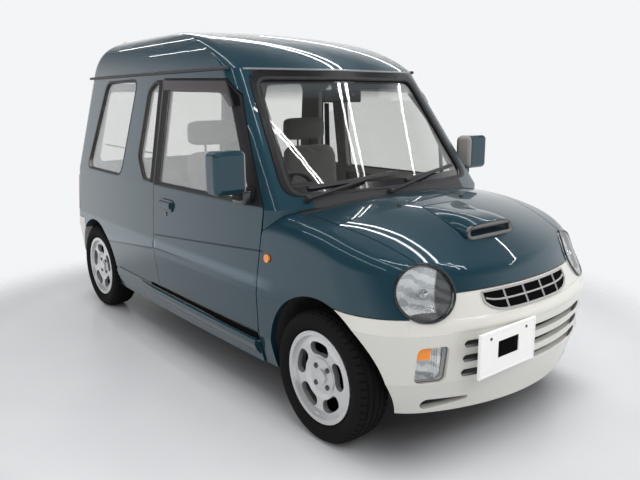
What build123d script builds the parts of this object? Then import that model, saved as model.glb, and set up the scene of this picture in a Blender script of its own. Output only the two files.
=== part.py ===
from build123d import *
import math
import os

# Overall sizes in mm. +X is forward, +Y the car's left, +Z up, origin on the road under the middle.
BODY_LENGTH = 3295
BODY_WIDTH = 1395
WHEELBASE = 2280
FRONT_OVERHANG = 550
TRACK = 1200
BELT_Z = 885
GUTTER_Z = 1465
ROOF_RISE = 230
WALL = 50
FRAME_WALL = 36
SKIN = 26
GLASS = 5
GLASS_SET_IN = 10
SEAT_GAP = 0.3
PROUD = 8

# Wheels
TYRE_RADIUS = 266
TYRE_WIDTH = 155
RIM_RADIUS = 178
HUB_BORE = 24.3
AXLE_RADIUS = 24
LUG_CIRCLE = 50
WINDOW_CIRCLE = 117
WINDOW_HEIGHT = 52
WINDOW_ANGLE = 28
FRONT_ARCH = 315
REAR_ARCH = 302
ARCH_Z = 276
KINGPIN_INSET = 55

# Front plate and the line where the body nose starts behind it
PLATE_DEPTH = 12
PLATE_WIDTH = 330
PLATE_HEIGHT = 165
PLATE_Y = -222
PLATE_Z = 446
PLATE_WINDOW = (122, 64)

FRONT_AXLE_X = BODY_LENGTH / 2 - FRONT_OVERHANG
REAR_AXLE_X = FRONT_AXLE_X - WHEELBASE
NOSE_X = BODY_LENGTH / 2 - PLATE_DEPTH
TAIL_X = -BODY_LENGTH / 2
HALF_WIDTH = BODY_WIDTH / 2
WHEEL_Y = TRACK / 2
SIDE_BOW = 40000
SIDE_BOW_X = -100

# Lower body outlines: height, narrowing, then setbacks of nose, nose corner, tail and tail corner
LOWER_SECTIONS = [
    (200, 50, 50, 265, 55, 118),
    (330, 16, 18, 225, 16, 78),
    (520, 0, 0, 208, 0, 62),
    (BELT_Z, 18, 190, 368, 40, 108),
    (960, 29, 229, 412, 57, 128),
]
NOSE_CORNER_R = 300
TAIL_CORNER_R = 120

# Glasshouse outlines at belt and gutter: height, half width, then front edge, front corner,
# measured back from the front axle, tail edge, tail corner, measured in from the tail, front radius
BELT_FRONT = 178
BELT_FRONT_CORNER = 302
GUTTER_HALF = 592
CABIN_SECTIONS = [
    (BELT_Z, HALF_WIDTH - 18, BELT_FRONT, BELT_FRONT_CORNER, 40, 108, 75),
    (GUTTER_Z, GUTTER_HALF, 618, 703, 232, 285, 75),
]
# Roof outlines in the same columns, heights above the gutter as shares of the roof rise
ROOF_SECTIONS = [
    (0.0, GUTTER_HALF, 618, 703, 232, 285, 75),
    (0.33, 573, 742, 838, 245, 300, 70),
    (0.64, 536, 930, 1035, 272, 336, 70),
    (0.86, 474, 1160, 1275, 322, 396, 80),
    (1.0, 372, 1420, 1525, 412, 490, 100),
]


def side_y(x, half_width):
    """Half width of a gently bowed body side at station x."""
    return half_width - SIDE_BOW + math.sqrt(SIDE_BOW**2 - (x - SIDE_BOW_X) ** 2)


def plan_outline(z, half_width, front, front_corner, tail, tail_corner, front_r, tail_r):
    """One level outline of the body: bowed front, sides and tail with rounded corners."""
    y_front = side_y(front_corner, half_width)
    y_tail = side_y(tail_corner, half_width)
    mid = (front_corner + tail_corner) / 2
    y_mid = side_y(mid, half_width)
    with BuildSketch(Plane.XY.offset(z)) as outline:
        with BuildLine():
            ThreePointArc((front_corner, -y_front), (front, 0), (front_corner, y_front))
            ThreePointArc((front_corner, y_front), (mid, y_mid), (tail_corner, y_tail))
            ThreePointArc((tail_corner, y_tail), (tail, 0), (tail_corner, -y_tail))
            ThreePointArc((tail_corner, -y_tail), (mid, -y_mid), (front_corner, -y_front))
        make_face()
        fillet(outline.vertices().group_by(Axis.X)[-1], front_r)
        fillet(outline.vertices().group_by(Axis.X)[0], tail_r)
    return outline.sketch


def lower_form(inset):
    """Closed form of the body below the belt, nose and tail included, shrunk by an inset."""
    outlines = []
    for z, narrowing, nose, corner, tail, tail_corner in LOWER_SECTIONS:
        outlines.append(
            plan_outline(
                z,
                HALF_WIDTH - narrowing - inset,
                NOSE_X - nose - inset,
                NOSE_X - corner - inset,
                TAIL_X + tail + inset,
                TAIL_X + tail_corner + inset,
                NOSE_CORNER_R - inset,
                TAIL_CORNER_R - inset,
            )
        )
    with BuildPart() as form:
        loft(outlines, ruled=True)
    return form.part


def cabin_outline(z, row, inset):
    """One glasshouse or roof outline shrunk by an inset."""
    half, front, corner, tail, tail_corner, radius = row
    return plan_outline(
        z,
        half - inset,
        FRONT_AXLE_X - front - inset,
        FRONT_AXLE_X - corner - inset,
        TAIL_X + tail + inset,
        TAIL_X + tail_corner + inset,
        radius - inset,
        TAIL_CORNER_R - inset,
    )


def cabin_form(inset):
    """Closed form of the glasshouse between belt and gutter."""
    outlines = [cabin_outline(row[0], row[1:], inset) for row in CABIN_SECTIONS]
    with BuildPart() as form:
        loft(outlines, ruled=True)
    return form.part


def roof_form(inset):
    """Closed domed form above the gutter."""
    outlines = []
    for share, *row in ROOF_SECTIONS:
        outlines.append(cabin_outline(GUTTER_Z + share * (ROOF_RISE - inset), row, inset))
    with BuildPart() as form:
        loft(outlines)
    return form.part


# Bonnet surface: an arc along the car, turned about a long axis below it for the crown
BONNET_ARC = [(-225, 914), (292, 792), (492, 672)]
BONNET_REACH = (-488, 100, 672)
BONNET_CROWN_R = 3500
BONNET_AXIS_Z = 920 - BONNET_CROWN_R
SHOULDER_R = 95


def bonnet_line():
    """Centre and radius of the bonnet's centre-line arc."""
    (x1, z1), (x2, z2), (x3, z3) = [(FRONT_AXLE_X + x, z) for x, z in BONNET_ARC]
    d = 2 * (x1 * (z2 - z3) + x2 * (z3 - z1) + x3 * (z1 - z2))
    s1, s2, s3 = x1**2 + z1**2, x2**2 + z2**2, x3**2 + z3**2
    cx = (s1 * (z2 - z3) + s2 * (z3 - z1) + s3 * (z1 - z2)) / d
    cz = (s1 * (x3 - x2) + s2 * (x1 - x3) + s3 * (x2 - x1)) / d
    return cx, cz, math.hypot(x1 - cx, z1 - cz)


def bonnet_z(x):
    """Height of the bonnet's centre line at station x."""
    cx, cz, radius = bonnet_line()
    return cz + math.sqrt(radius**2 - (x - cx) ** 2)


def front_form(inset):
    """Closed form ahead of the cabin: lower body under the bonnet surface, shoulders rounded."""
    start, middle, end = [
        (FRONT_AXLE_X + x, bonnet_z(FRONT_AXLE_X + x) - inset) for x in BONNET_REACH
    ]
    crown_axis = Axis((0, 0, BONNET_AXIS_Z), (1, 0, 0))
    with BuildPart() as under_bonnet:
        with BuildSketch(Plane.XZ):
            with BuildLine():
                ThreePointArc(start, middle, end)
                Polyline(end, (end[0], -200), (start[0], -200), start)
            make_face()
        revolve(axis=crown_axis, revolution_arc=30)
    with BuildPart() as form:
        add(lower_form(inset))
        add(under_bonnet.part.rotate(crown_axis, -15), mode=Mode.INTERSECT)
        top = form.faces().sort_by(Axis.Z)[-1]
        fillet([e for e in top.edges() if e.center().X > start[0] + 10], SHOULDER_R - inset)
    return form.part


def side_prism(points, y_from, y_to, radius=0.0):
    """Prism across the car over a side-view outline."""
    with BuildPart() as prism:
        with BuildSketch(Plane.XZ.offset(-y_from)) as face:
            with BuildLine():
                Polyline(*points, close=True)
            make_face()
            if radius:
                fillet(face.vertices(), radius)
        extrude(amount=-(y_to - y_from))
    return prism.part


def end_prism(points, x_from, x_to, radius=0.0):
    """Prism along the car over an end-view outline given as (y, z)."""
    with BuildPart() as prism:
        with BuildSketch(Plane.YZ.offset(x_from)) as face:
            with BuildLine():
                Polyline(*points, close=True)
            make_face()
            if radius:
                fillet(face.vertices(), radius)
        extrude(amount=x_to - x_from)
    return prism.part


def block(x_from, x_to, y_from, y_to, z_from, z_to, radius=0.0):
    """Box between limits, with all edges rounded if a radius is given."""
    with BuildPart() as box:
        with Locations(((x_from + x_to) / 2, (y_from + y_to) / 2, (z_from + z_to) / 2)):
            Box(abs(x_to - x_from), abs(y_to - y_from), abs(z_to - z_from))
        if radius:
            fillet(box.edges(), radius)
    return box.part


def cross_cylinder(radius, x, z, y_from, y_to):
    """Cylinder across the car between two widths."""
    with BuildPart() as bar:
        with Locations(Location((x, (y_from + y_to) / 2, z), (90, 0, 0))):
            Cylinder(radius, abs(y_to - y_from))
    return bar.part


def cut(base, *tools):
    """Base solid with tools taken away."""
    with BuildPart() as result:
        add(base)
        for tool in tools:
            add(tool, mode=Mode.SUBTRACT)
    return result.part


def common(base, *tools):
    """What a base solid shares with each tool in turn."""
    with BuildPart() as result:
        add(base)
        for tool in tools:
            add(tool, mode=Mode.INTERSECT)
    return result.part


def joined(*pieces):
    """Pieces fused into one."""
    with BuildPart() as result:
        for piece in pieces:
            add(piece)
    return result.part


def largest(part):
    """The largest solid of a cut, without slivers."""
    with BuildPart() as result:
        add(part.solids().sort_by(SortBy.VOLUME)[-1])
    return result.part


def twin(part):
    """The same piece mirrored to the other side of the car."""
    with BuildPart() as result:
        mirror(part, about=Plane.XZ)
    return result.part


def back(points, dx=0.0):
    """Side-view points given as distance behind the front axle and height."""
    return [(FRONT_AXLE_X - b + dx, z) for b, z in points]


os.makedirs("parts", exist_ok=True)


def hand_in(part, name):
    """Label one finished piece and write its file."""
    part.label = name
    export_step(part, f"parts/{name}.step")


# Forms shared by the panels
lower_outer = lower_form(0)
lower_shell = common(
    cut(lower_outer, lower_form(WALL)), block(TAIL_X - 50, 2000, -1000, 1000, 200, BELT_Z)
)
cabin_outer = cabin_form(0)
cabin_shell = cut(cabin_outer, cabin_form(FRAME_WALL))
cabin_glass = cut(cabin_form(GLASS_SET_IN), cabin_form(GLASS_SET_IN + GLASS))
roof_shell = cut(roof_form(0), roof_form(SKIN))
front_outer = front_form(0)
front_inner = front_form(SKIN)
front_shell = cut(front_outer, front_inner)

# Door outline: distance behind the front axle, height, and the opening's gap behind and above
DOOR_TABLE = [
    (400, 345, -6, -6),
    (383, 600, -6, 0),
    (344, 886, -6.5, 1),
    (625, 1347, -5.5, 4),
    (716, 1415, -3, 6),
    (1327, 1432, 17, 6.5),
    (1360, 886, 9, 0),
    (1370, 600, 8, 0),
    (1348, 345, 8, -6),
]
door_outline = back([(b, z) for b, z, _, _ in DOOR_TABLE])
opening_outline = back([(b + gb, z + gz) for b, z, gb, gz in DOOR_TABLE])
door_prism = side_prism(door_outline, 300, 900, 14)
opening_prism = side_prism(opening_outline, 300, 900, 18)

# Side windows: distance behind the front axle and height
DOOR_WINDOW = [(436, 905), (664, 1322), (742, 1380), (1288, 1394), (1318, 905)]
QUARTER_WINDOW = [(1815, 902), (1668, 1437), (2135, 1434), (2395, 906)]
NARROW_WINDOW = [(1404, 908), (1382, 1418), (1440, 1420), (1515, 1375), (1588, 1025), (1500, 908)]
SCREEN_OPENING = [(-556, 937), (556, 937), (492, 1424), (-492, 1424)]
TAIL_WINDOW = [(-500, 905), (500, 905), (438, 1392), (-438, 1392)]
TAILGATE = [(-572, 567), (572, 567), (580, 700), (566, 890), (486, 1438), (-486, 1438), (-566, 890), (-580, 700)]
TAILGATE_GAP = 6
HEADER_HALF = 476
REAR_HEADER_Z = 1444.5
BUMPER_TOP_REAR = 560
REAR_BUMPER_START = 205


def grown(outline_points, gap, prism, span):
    """Prism over an outline moved outward by a gap."""
    with BuildPart() as result:
        with BuildSketch(Plane.XZ.offset(-span[0]) if prism == "side" else Plane.YZ.offset(span[0])):
            with BuildLine():
                Polyline(*outline_points, close=True)
            make_face()
            offset(amount=gap, kind=Kind.INTERSECTION)
        extrude(amount=(span[0] - span[1]) if prism == "side" else (span[1] - span[0]))
    return result.part


tail_span = (TAIL_X - 50, TAIL_X + 400)
tailgate_prism = end_prism(TAILGATE, *tail_span)
tailgate_hole = grown(TAILGATE, TAILGATE_GAP, "end", tail_span)
screen_prism = end_prism(SCREEN_OPENING, 0, FRONT_AXLE_X, 60)
rear_arch = cross_cylinder(REAR_ARCH, REAR_AXLE_X, ARCH_Z, 470, 900)
front_arch = cross_cylinder(FRONT_ARCH, FRONT_AXLE_X, ARCH_Z, 380, 900)
rear_bumper_zone = block(TAIL_X - 50, REAR_AXLE_X - REAR_BUMPER_START - 4, -1000, 1000, 190, BUMPER_TOP_REAR)
rear_bumper_gap = block(TAIL_X - 50, REAR_AXLE_X - REAR_BUMPER_START, -1000, 1000, 190, BUMPER_TOP_REAR + 4)
TAIL_LAMP = (TAIL_X + 160, 590, 610, 840)
lamp_zone_rear = block(TAIL_X - 50, TAIL_LAMP[0], TAIL_LAMP[1], 1000, TAIL_LAMP[2], TAIL_LAMP[3])

# Body sides: sill, quarter panel, pillars and roof rail in one, with the hinge pillar behind the fender
FENDER_END_X = FRONT_AXLE_X - 394
FOOT_DEPTH = 110
windows = joined(
    side_prism(back(QUARTER_WINDOW), 300, 900, 55),
    side_prism(back(NARROW_WINDOW), 300, 900, 18),
)
left_half = block(TAIL_X - 50, FENDER_END_X - 4, 1, 1000, 100, BELT_Z + 1)
side_lower = common(lower_shell, left_half)
side_upper = common(cabin_shell, block(TAIL_X - 50, 2000, 1, 1000, BELT_Z - 1, GUTTER_Z + 1))
lower_proud = cut(lower_form(-PROUD), lower_form(20))
SKIRT = [(398, 200), (398, 300), (900, 318), (1560, 326), (1940, 330), (1985, 300), (1985, 200)]
skirt = common(lower_proud, side_prism(back(SKIRT), 300, 900))
rocker = block(REAR_AXLE_X + 330, FENDER_END_X - 4, 560, 642, 205, 330)
hinge_pillar = cut(
    block(FENDER_END_X - 20, FENDER_END_X + 85, 560, 612, 205, BELT_Z + 20),
    cross_cylinder(FRONT_ARCH + 15, FRONT_AXLE_X, ARCH_Z, 500, 700),
)
# The A-pillar stands clear of the bonnet surface on a foot over the fender's shoulder
above_front = front_form(-2)


def plinth(inset):
    """Straight foot of the glasshouse below the belt, shrunk by an inset."""
    with BuildPart() as foot:
        add(cabin_outline(BELT_Z, CABIN_SECTIONS[0][1:], inset))
        extrude(amount=-FOOT_DEPTH)
    return foot.part


foot_zone = block(FENDER_END_X, 2000, HEADER_HALF, 1000, BELT_Z - FOOT_DEPTH, BELT_Z)
pillar_foot = cut(common(plinth(0), foot_zone), plinth(FRAME_WALL), above_front)
cabin_side = cut(
    joined(side_lower, cut(side_upper, above_front), pillar_foot, rocker, skirt),
    opening_prism,
    windows,
    screen_prism,
    block(0, 2000, -HEADER_HALF, HEADER_HALF, BELT_Z - 5, GUTTER_Z + 5),
    block(TAIL_X - 50, TAIL_X + 400, -HEADER_HALF, HEADER_HALF, 1400, GUTTER_Z + 5),
    tailgate_hole,
    rear_arch,
    rear_bumper_gap,
    lamp_zone_rear,
)
sill_upstand = common(
    block(REAR_AXLE_X + 960, FENDER_END_X - 10, 590, 720, 325, DOOR_TABLE[0][1] + 18),
    lower_form(WALL + SEAT_GAP),
)
body_side = largest(joined(cabin_side, cut(hinge_pillar, opening_prism), sill_upstand))
hand_in(body_side, "body_side_left")
hand_in(twin(body_side), "body_side_right")

# Roof with the screen header and the tailgate header
headers = joined(
    common(cabin_shell, block(0, 2000, -HEADER_HALF, HEADER_HALF, 1400, GUTTER_Z)),
    common(cabin_shell, block(TAIL_X, TAIL_X + 400, -HEADER_HALF, HEADER_HALF, REAR_HEADER_Z, GUTTER_Z)),
)
roof_panel = joined(roof_shell, cut(headers, screen_prism))
hand_in(largest(roof_panel), "roof_panel")

# Doors with their glass
door_window_prism = side_prism(back(DOOR_WINDOW), 300, 900, 24)
door_shell = common(
    joined(common(lower_shell, block(-2000, 2000, 1, 1000, 100, BELT_Z)), cabin_shell), door_prism
)
HANDLE = [(1145, 775), (1145, 830), (1275, 830), (1275, 775)]
handle = common(lower_proud, side_prism(back(HANDLE), 300, 900, 14))
door = largest(joined(cut(door_shell, door_window_prism), handle))
hand_in(door, "door_left")
hand_in(twin(door), "door_right")


def pane(outline_points, radius):
    """Curved pane that fills a side window with a small seat gap."""
    with BuildPart() as prism:
        with BuildSketch(Plane.XZ.offset(-300)) as face:
            with BuildLine():
                Polyline(*back(outline_points), close=True)
            make_face()
            fillet(face.vertices(), radius)
            offset(amount=-SEAT_GAP)
        extrude(amount=-600)
    return common(cabin_glass, prism.part)


door_glass = pane(DOOR_WINDOW, 24)
hand_in(door_glass, "door_glass_left")
hand_in(twin(door_glass), "door_glass_right")
side_glass = joined(pane(QUARTER_WINDOW, 55), pane(NARROW_WINDOW, 18))
hand_in(joined(side_glass, twin(side_glass)), "side_glass")
with BuildPart() as screen_pane_prism:
    with BuildSketch(Plane.YZ) as screen_face:
        with BuildLine():
            Polyline(*SCREEN_OPENING, close=True)
        make_face()
        fillet(screen_face.vertices(), 60)
        offset(amount=-SEAT_GAP)
    extrude(amount=FRONT_AXLE_X)
hand_in(common(cabin_glass, screen_pane_prism.part), "windscreen")

# Tailgate and its glass
tail_window_prism = end_prism(TAIL_WINDOW, *tail_span, 50)
tailgate = common(joined(lower_shell, cabin_shell), tailgate_prism)
tailgate = largest(cut(tailgate, tail_window_prism))
hand_in(tailgate, "tailgate")
with BuildPart() as tail_pane_prism:
    with BuildSketch(Plane.YZ.offset(tail_span[0])) as tail_face:
        with BuildLine():
            Polyline(*TAIL_WINDOW, close=True)
        make_face()
        fillet(tail_face.vertices(), 50)
        offset(amount=-SEAT_GAP)
    extrude(amount=tail_span[1] - tail_span[0])
hand_in(common(cabin_glass, tail_pane_prism.part), "tailgate_glass")

# Rear bumper and tail lamps
hand_in(largest(cut(common(lower_shell, rear_bumper_zone), rear_arch, twin(rear_arch))), "rear_bumper")
tail_lamp_skin = cut(lower_form(-2), lower_form(24))
tail_lamp_box = block(
    TAIL_X - 50, TAIL_LAMP[0] - SEAT_GAP, TAIL_LAMP[1] + SEAT_GAP, 1000,
    TAIL_LAMP[2] + SEAT_GAP, TAIL_LAMP[3] - SEAT_GAP,
)
tail_lamp = common(tail_lamp_skin, tail_lamp_box)
hand_in(joined(tail_lamp, twin(tail_lamp)), "tail_lamps")

# Front end: bonnet outline as distance ahead of the front axle and half width
BONNET_PLAN = [(-207, 545), (0, 535), (312, 455), (600, 385)]
BONNET_REAR_BOW = 40
BONNET_FRONT_Z = 650
PANEL_GAP = 5
BUMPER_TOP = 572
BUMPER_MID_TOP = BONNET_FRONT_Z - PANEL_GAP
BUMPER_MID_HALF = 470


def bonnet_prism(gap, z_from):
    """Upright prism over the bonnet's outline, grown by a gap."""
    left = [(FRONT_AXLE_X + x - (gap if x < -200 else 0), half + gap) for x, half in BONNET_PLAN]
    right = [(x, -y) for x, y in left]
    rear = left[0][0]
    with BuildPart() as prism:
        with BuildSketch(Plane.XY.offset(z_from)):
            with BuildLine():
                Polyline(*left)
                Line(left[-1], right[-1])
                Polyline(*right)
                ThreePointArc(left[0], (rear + BONNET_REAR_BOW, 0), right[0])
            make_face()
        extrude(amount=1000 - z_from)
    return prism.part


# Headlamps: oval lens, turned outward and upward
LAMP_CENTRE = (FRONT_AXLE_X + 398, 486, 667)
LAMP_HALF_W = 112
LAMP_HALF_H = 103
LAMP_OUT = 27
LAMP_UP = 18
LAMP_DEPTH = 120


def lamp_prism(grow, depth):
    """Oval prism along the headlamp's axis."""
    out, up = math.radians(LAMP_OUT), math.radians(LAMP_UP)
    axis = (math.cos(up) * math.cos(out), math.cos(up) * math.sin(out), math.sin(up))
    plane = Plane(origin=LAMP_CENTRE, x_dir=(-math.sin(out), math.cos(out), 0), z_dir=axis)
    with BuildPart() as prism:
        with BuildSketch(plane.offset(-depth)):
            Ellipse(LAMP_HALF_W + grow, LAMP_HALF_H + grow)
        extrude(amount=depth + 200)
    return prism.part


lamp_hole = lamp_prism(SEAT_GAP, LAMP_DEPTH + 1)
lamp_clear = lamp_prism(PANEL_GAP + 1, LAMP_DEPTH)
lens = common(cut(front_form(-5), front_form(12)), lamp_prism(0, 60))
hand_in(joined(lens, twin(lens)), "headlamps")
bowl = cut(common(lamp_prism(0, LAMP_DEPTH), front_form(12.5)), lamp_prism(-4, LAMP_DEPTH - 4))
hand_in(joined(bowl, twin(bowl)), "headlamp_bowls")

bonnet = common(front_shell, bonnet_prism(0, BONNET_FRONT_Z))
bonnet = largest(cut(bonnet, lamp_clear, twin(lamp_clear)))
hand_in(bonnet, "bonnet")

# Front bumper with mesh grille slot, slatted mouth, corner slots and fog lamp holes
GRILLE_HALF = 246
GRILLE_Z = (595, 639)
MOUTH_HALF = 300
SLAT_PITCH = 57
SLAT_GAP = 28
SLAT_COUNT = 3
MOUTH_Z = 358
FOG_Y = 482
FOG_Z = 405
FOG_W = 108
FOG_H = 138
INTAKE_Z = 240
INTAKE_OUTER = (470, 21)
INTAKE_INNER = (325, 8)
INTAKE_RISE = 8


def front_slot(y, z, width, height, radius):
    """Rounded slot cut back into the nose from ahead."""
    with BuildPart() as slot:
        with BuildSketch(Plane.YZ.offset(FRONT_AXLE_X + 200)):
            with Locations((y, z)):
                RectangleRounded(width, height, radius)
        extrude(amount=FRONT_OVERHANG)
    return slot.part


def corner_intake(side):
    """Teardrop intake in the bumper's lip, widest at the corner."""
    with BuildPart() as intake:
        with BuildSketch(Plane.YZ.offset(FRONT_AXLE_X + 200)):
            with Locations((side * INTAKE_OUTER[0], INTAKE_Z)):
                Circle(INTAKE_OUTER[1])
            with Locations((side * INTAKE_INNER[0], INTAKE_Z + INTAKE_RISE)):
                Circle(INTAKE_INNER[1])
            make_hull()
        extrude(amount=FRONT_OVERHANG)
    return intake.part


grille_mid = (GRILLE_Z[0] + GRILLE_Z[1]) / 2
grille_height = GRILLE_Z[1] - GRILLE_Z[0]
nose_zone = joined(
    block(FRONT_AXLE_X + 40, 2000, -1000, 1000, 190, BUMPER_TOP),
    block(NOSE_X - 300, 2000, -BUMPER_MID_HALF, BUMPER_MID_HALF, 550, BUMPER_MID_TOP),
)
nose_gap = joined(
    block(FRONT_AXLE_X + 40, 2000, -1000, 1000, 190, BUMPER_TOP + PANEL_GAP),
    block(NOSE_X - 300, 2000, -BUMPER_MID_HALF, BUMPER_MID_HALF, 550, BUMPER_MID_TOP + PANEL_GAP),
)
slots = [front_slot(0, grille_mid, 2 * GRILLE_HALF, grille_height, 16)]
for step in range(SLAT_COUNT):
    slots.append(front_slot(0, MOUTH_Z + step * SLAT_PITCH, 2 * MOUTH_HALF, SLAT_GAP, 11))
for side in (1, -1):
    slots.append(front_slot(side * FOG_Y, FOG_Z, FOG_W + 2 * SEAT_GAP, FOG_H + 2 * SEAT_GAP, 21 + SEAT_GAP))
    slots.append(corner_intake(side))
bumper = cut(
    common(front_shell, nose_zone), front_arch, twin(front_arch), lamp_hole, twin(lamp_hole), *slots
)
hand_in(largest(bumper), "front_bumper")

# Mesh grille: sheet set back in its slot with two staggered rows of cells
CELL_PITCH = 80
CELL_W = 73
CELL_H = 16
grille_sheet = cut(front_form(10), front_form(16))
grille = common(grille_sheet, front_slot(0, grille_mid, 2 * GRILLE_HALF - 1, grille_height - 1, 15))
cells = []
for row, offset_y in ((-1, 0), (1, CELL_PITCH / 2)):
    for column in range(-3, 4):
        y = column * CELL_PITCH + offset_y
        if abs(y) + CELL_W / 2 < GRILLE_HALF - 6:
            cells.append(front_slot(y, grille_mid + row * (CELL_H / 2 + 2.5), CELL_W, CELL_H, 3))
hand_in(cut(grille, *cells), "upper_grille")

# Fog lamps sit a little behind the bumper's face
fog_skin = cut(front_form(10), front_form(22))
fog = common(fog_skin, front_slot(FOG_Y, FOG_Z, FOG_W, FOG_H, 21))
hand_in(joined(fog, twin(fog)), "fog_lamps")

# Number plate, blank, on a holder that follows the bumper
plate = block(
    NOSE_X + 3, NOSE_X + PLATE_DEPTH, PLATE_Y - PLATE_WIDTH / 2, PLATE_Y + PLATE_WIDTH / 2,
    PLATE_Z - PLATE_HEIGHT / 2, PLATE_Z + PLATE_HEIGHT / 2,
)
holder = block(NOSE_X - 70, NOSE_X + 3, PLATE_Y - 75, PLATE_Y + 120, PLATE_Z - 48, PLATE_Z + 52)
plate_window = front_slot(PLATE_Y, PLATE_Z + 6, *PLATE_WINDOW, 3)
hand_in(cut(joined(plate, cut(holder, front_form(-SEAT_GAP))), plate_window), "number_plate")

# Fenders
COWL_HALF = 555
fender_zone = block(FENDER_END_X, 2000, 1, 1000, 190, 1000)
fender = cut(
    common(front_shell, fender_zone),
    bonnet_prism(PANEL_GAP, 400),
    nose_gap,
    lamp_hole,
    front_arch,
    opening_prism,
    block(FENDER_END_X - 10, FENDER_END_X + 100, -626, 626, 190, 1000),
    block(FENDER_END_X - 10, FRONT_AXLE_X + BONNET_PLAN[0][0] + BONNET_REAR_BOW, -COWL_HALF - 2, COWL_HALF + 2, 190, 1000),
)
fender = largest(fender)
hand_in(fender, "fender_left")
hand_in(twin(fender), "fender_right")

# Cowl with the bulkhead below it
BULKHEAD_X = FENDER_END_X + 30
BULKHEAD = 10
FLOOR_Z = 215
FLOOR = 25
cowl_end = FRONT_AXLE_X + BONNET_PLAN[0][0] + BONNET_REAR_BOW
cowl_strip = cut(
    common(front_form(0), block(BULKHEAD_X, cowl_end, -COWL_HALF, COWL_HALF, 600, 1000)),
    front_form(SKIN),
    bonnet_prism(PANEL_GAP, 400),
)
screen_foot = cut(
    common(cabin_shell, block(0, 2000, -HEADER_HALF, HEADER_HALF, BELT_Z, 1000)), screen_prism
)
bulkhead = common(block(BULKHEAD_X, BULKHEAD_X + BULKHEAD, -560, 560, FLOOR_Z, 1000), front_form(SKIN))
cowl = largest(joined(largest(cowl_strip), screen_foot, bulkhead))
hand_in(cowl, "cowl_panel")

# Floor with load floor and rear wheel houses
LOAD_FLOOR_Z = 440
LOAD_HALF = 494
RISER_X = REAR_AXLE_X + 330
inner_lower = lower_form(WALL + SEAT_GAP)
rear_house = common(
    cut(
        cross_cylinder(REAR_ARCH + 10, REAR_AXLE_X, ARCH_Z, LOAD_HALF, 720),
        cross_cylinder(REAR_ARCH + 2, REAR_AXLE_X, ARCH_Z, LOAD_HALF + 8, 740),
    ),
    inner_lower,
    block(TAIL_X, 0, 0, 1000, FLOOR_Z, 800),
)
rear_house = cut(rear_house, block(REAR_AXLE_X - 70, REAR_AXLE_X + 70, LOAD_HALF - 10, 515, FLOOR_Z - 5, 340))
rear_member = common(
    block(TAIL_X, TAIL_X + 170, -LOAD_HALF, LOAD_HALF, 330, LOAD_FLOOR_Z - FLOOR), inner_lower
)
TAIL_STOP_Z = BUMPER_TOP_REAR + 32
rear_panel = common(
    cut(lower_form(WALL + SEAT_GAP), lower_form(WALL + 28)),
    block(TAIL_X, TAIL_X + 300, -480, 480, LOAD_FLOOR_Z - FLOOR, TAIL_STOP_Z),
)
load_floor = block(TAIL_X + 60, RISER_X, -LOAD_HALF, LOAD_HALF, LOAD_FLOOR_Z - FLOOR, LOAD_FLOOR_Z)
floor_pan = joined(
    block(RISER_X - FLOOR, BULKHEAD_X, -560, 560, FLOOR_Z, FLOOR_Z + FLOOR),
    block(RISER_X - FLOOR, RISER_X, -LOAD_HALF, LOAD_HALF, FLOOR_Z, LOAD_FLOOR_Z),
    common(load_floor, inner_lower),
    rear_member,
    rear_panel,
    rear_house,
    twin(rear_house),
)
hand_in(floor_pan, "floor_pan")

# Front frame: rails, cross beams, strut towers, with arms to the knuckles
RAIL_Y = (315, 360)
RAIL_Z = (300, 380)
KINGPIN_Y = WHEEL_Y - KINGPIN_INSET
STRUT_Y = WHEEL_Y - 115
STRUT_TOP = 775
ARM_TOP = 196
inner_front = front_form(SKIN + SEAT_GAP)
rail_end = common(block(NOSE_X - 110, 2000, -RAIL_Y[1], RAIL_Y[1], *RAIL_Z), inner_front)
frame_pieces = [rail_end, block(FRONT_AXLE_X - 110, FRONT_AXLE_X + 110, -345, 345, 168, 214)]
for side in (1, -1):
    inner, outer = side * RAIL_Y[0], side * RAIL_Y[1]
    rail = block(BULKHEAD_X + BULKHEAD, NOSE_X - 105, inner, outer, *RAIL_Z)
    frame_pieces.append(common(rail, inner_front))
    frame_pieces.append(block(FRONT_AXLE_X - 110, FRONT_AXLE_X + 110, inner, side * 345, 168, RAIL_Z[0]))
    tower = (FRONT_AXLE_X - 50, FRONT_AXLE_X + 50)
    frame_pieces.append(block(*tower, side * 345, outer, RAIL_Z[0], STRUT_TOP + 10))
    frame_pieces.append(block(*tower, side * 345, side * (STRUT_Y + 40), STRUT_TOP + SEAT_GAP, STRUT_TOP + 10))
    for half, start, end in ((28, 345, KINGPIN_Y - 40), (14, KINGPIN_Y - 41, KINGPIN_Y - 2)):
        frame_pieces.append(
            block(FRONT_AXLE_X - half, FRONT_AXLE_X + half, side * start, side * end, 172, ARM_TOP)
        )
hand_in(joined(*frame_pieces), "front_frame")

# Front wheel housings with a slot for the strut
front_house = cut(
    cross_cylinder(FRONT_ARCH + 9, FRONT_AXLE_X, ARCH_Z, RAIL_Y[1], 720),
    cross_cylinder(FRONT_ARCH + 3, FRONT_AXLE_X, ARCH_Z, RAIL_Y[1] + 6, 740),
    block(FRONT_AXLE_X - 95, FRONT_AXLE_X + 95, 340, 580, 330, 800),
    block(FRONT_AXLE_X - 400, FRONT_AXLE_X + 400, 300, 800, -100, 245),
)
front_house = largest(common(front_house, inner_front))
hand_in(joined(front_house, twin(front_house)), "front_wheel_housings")

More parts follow.
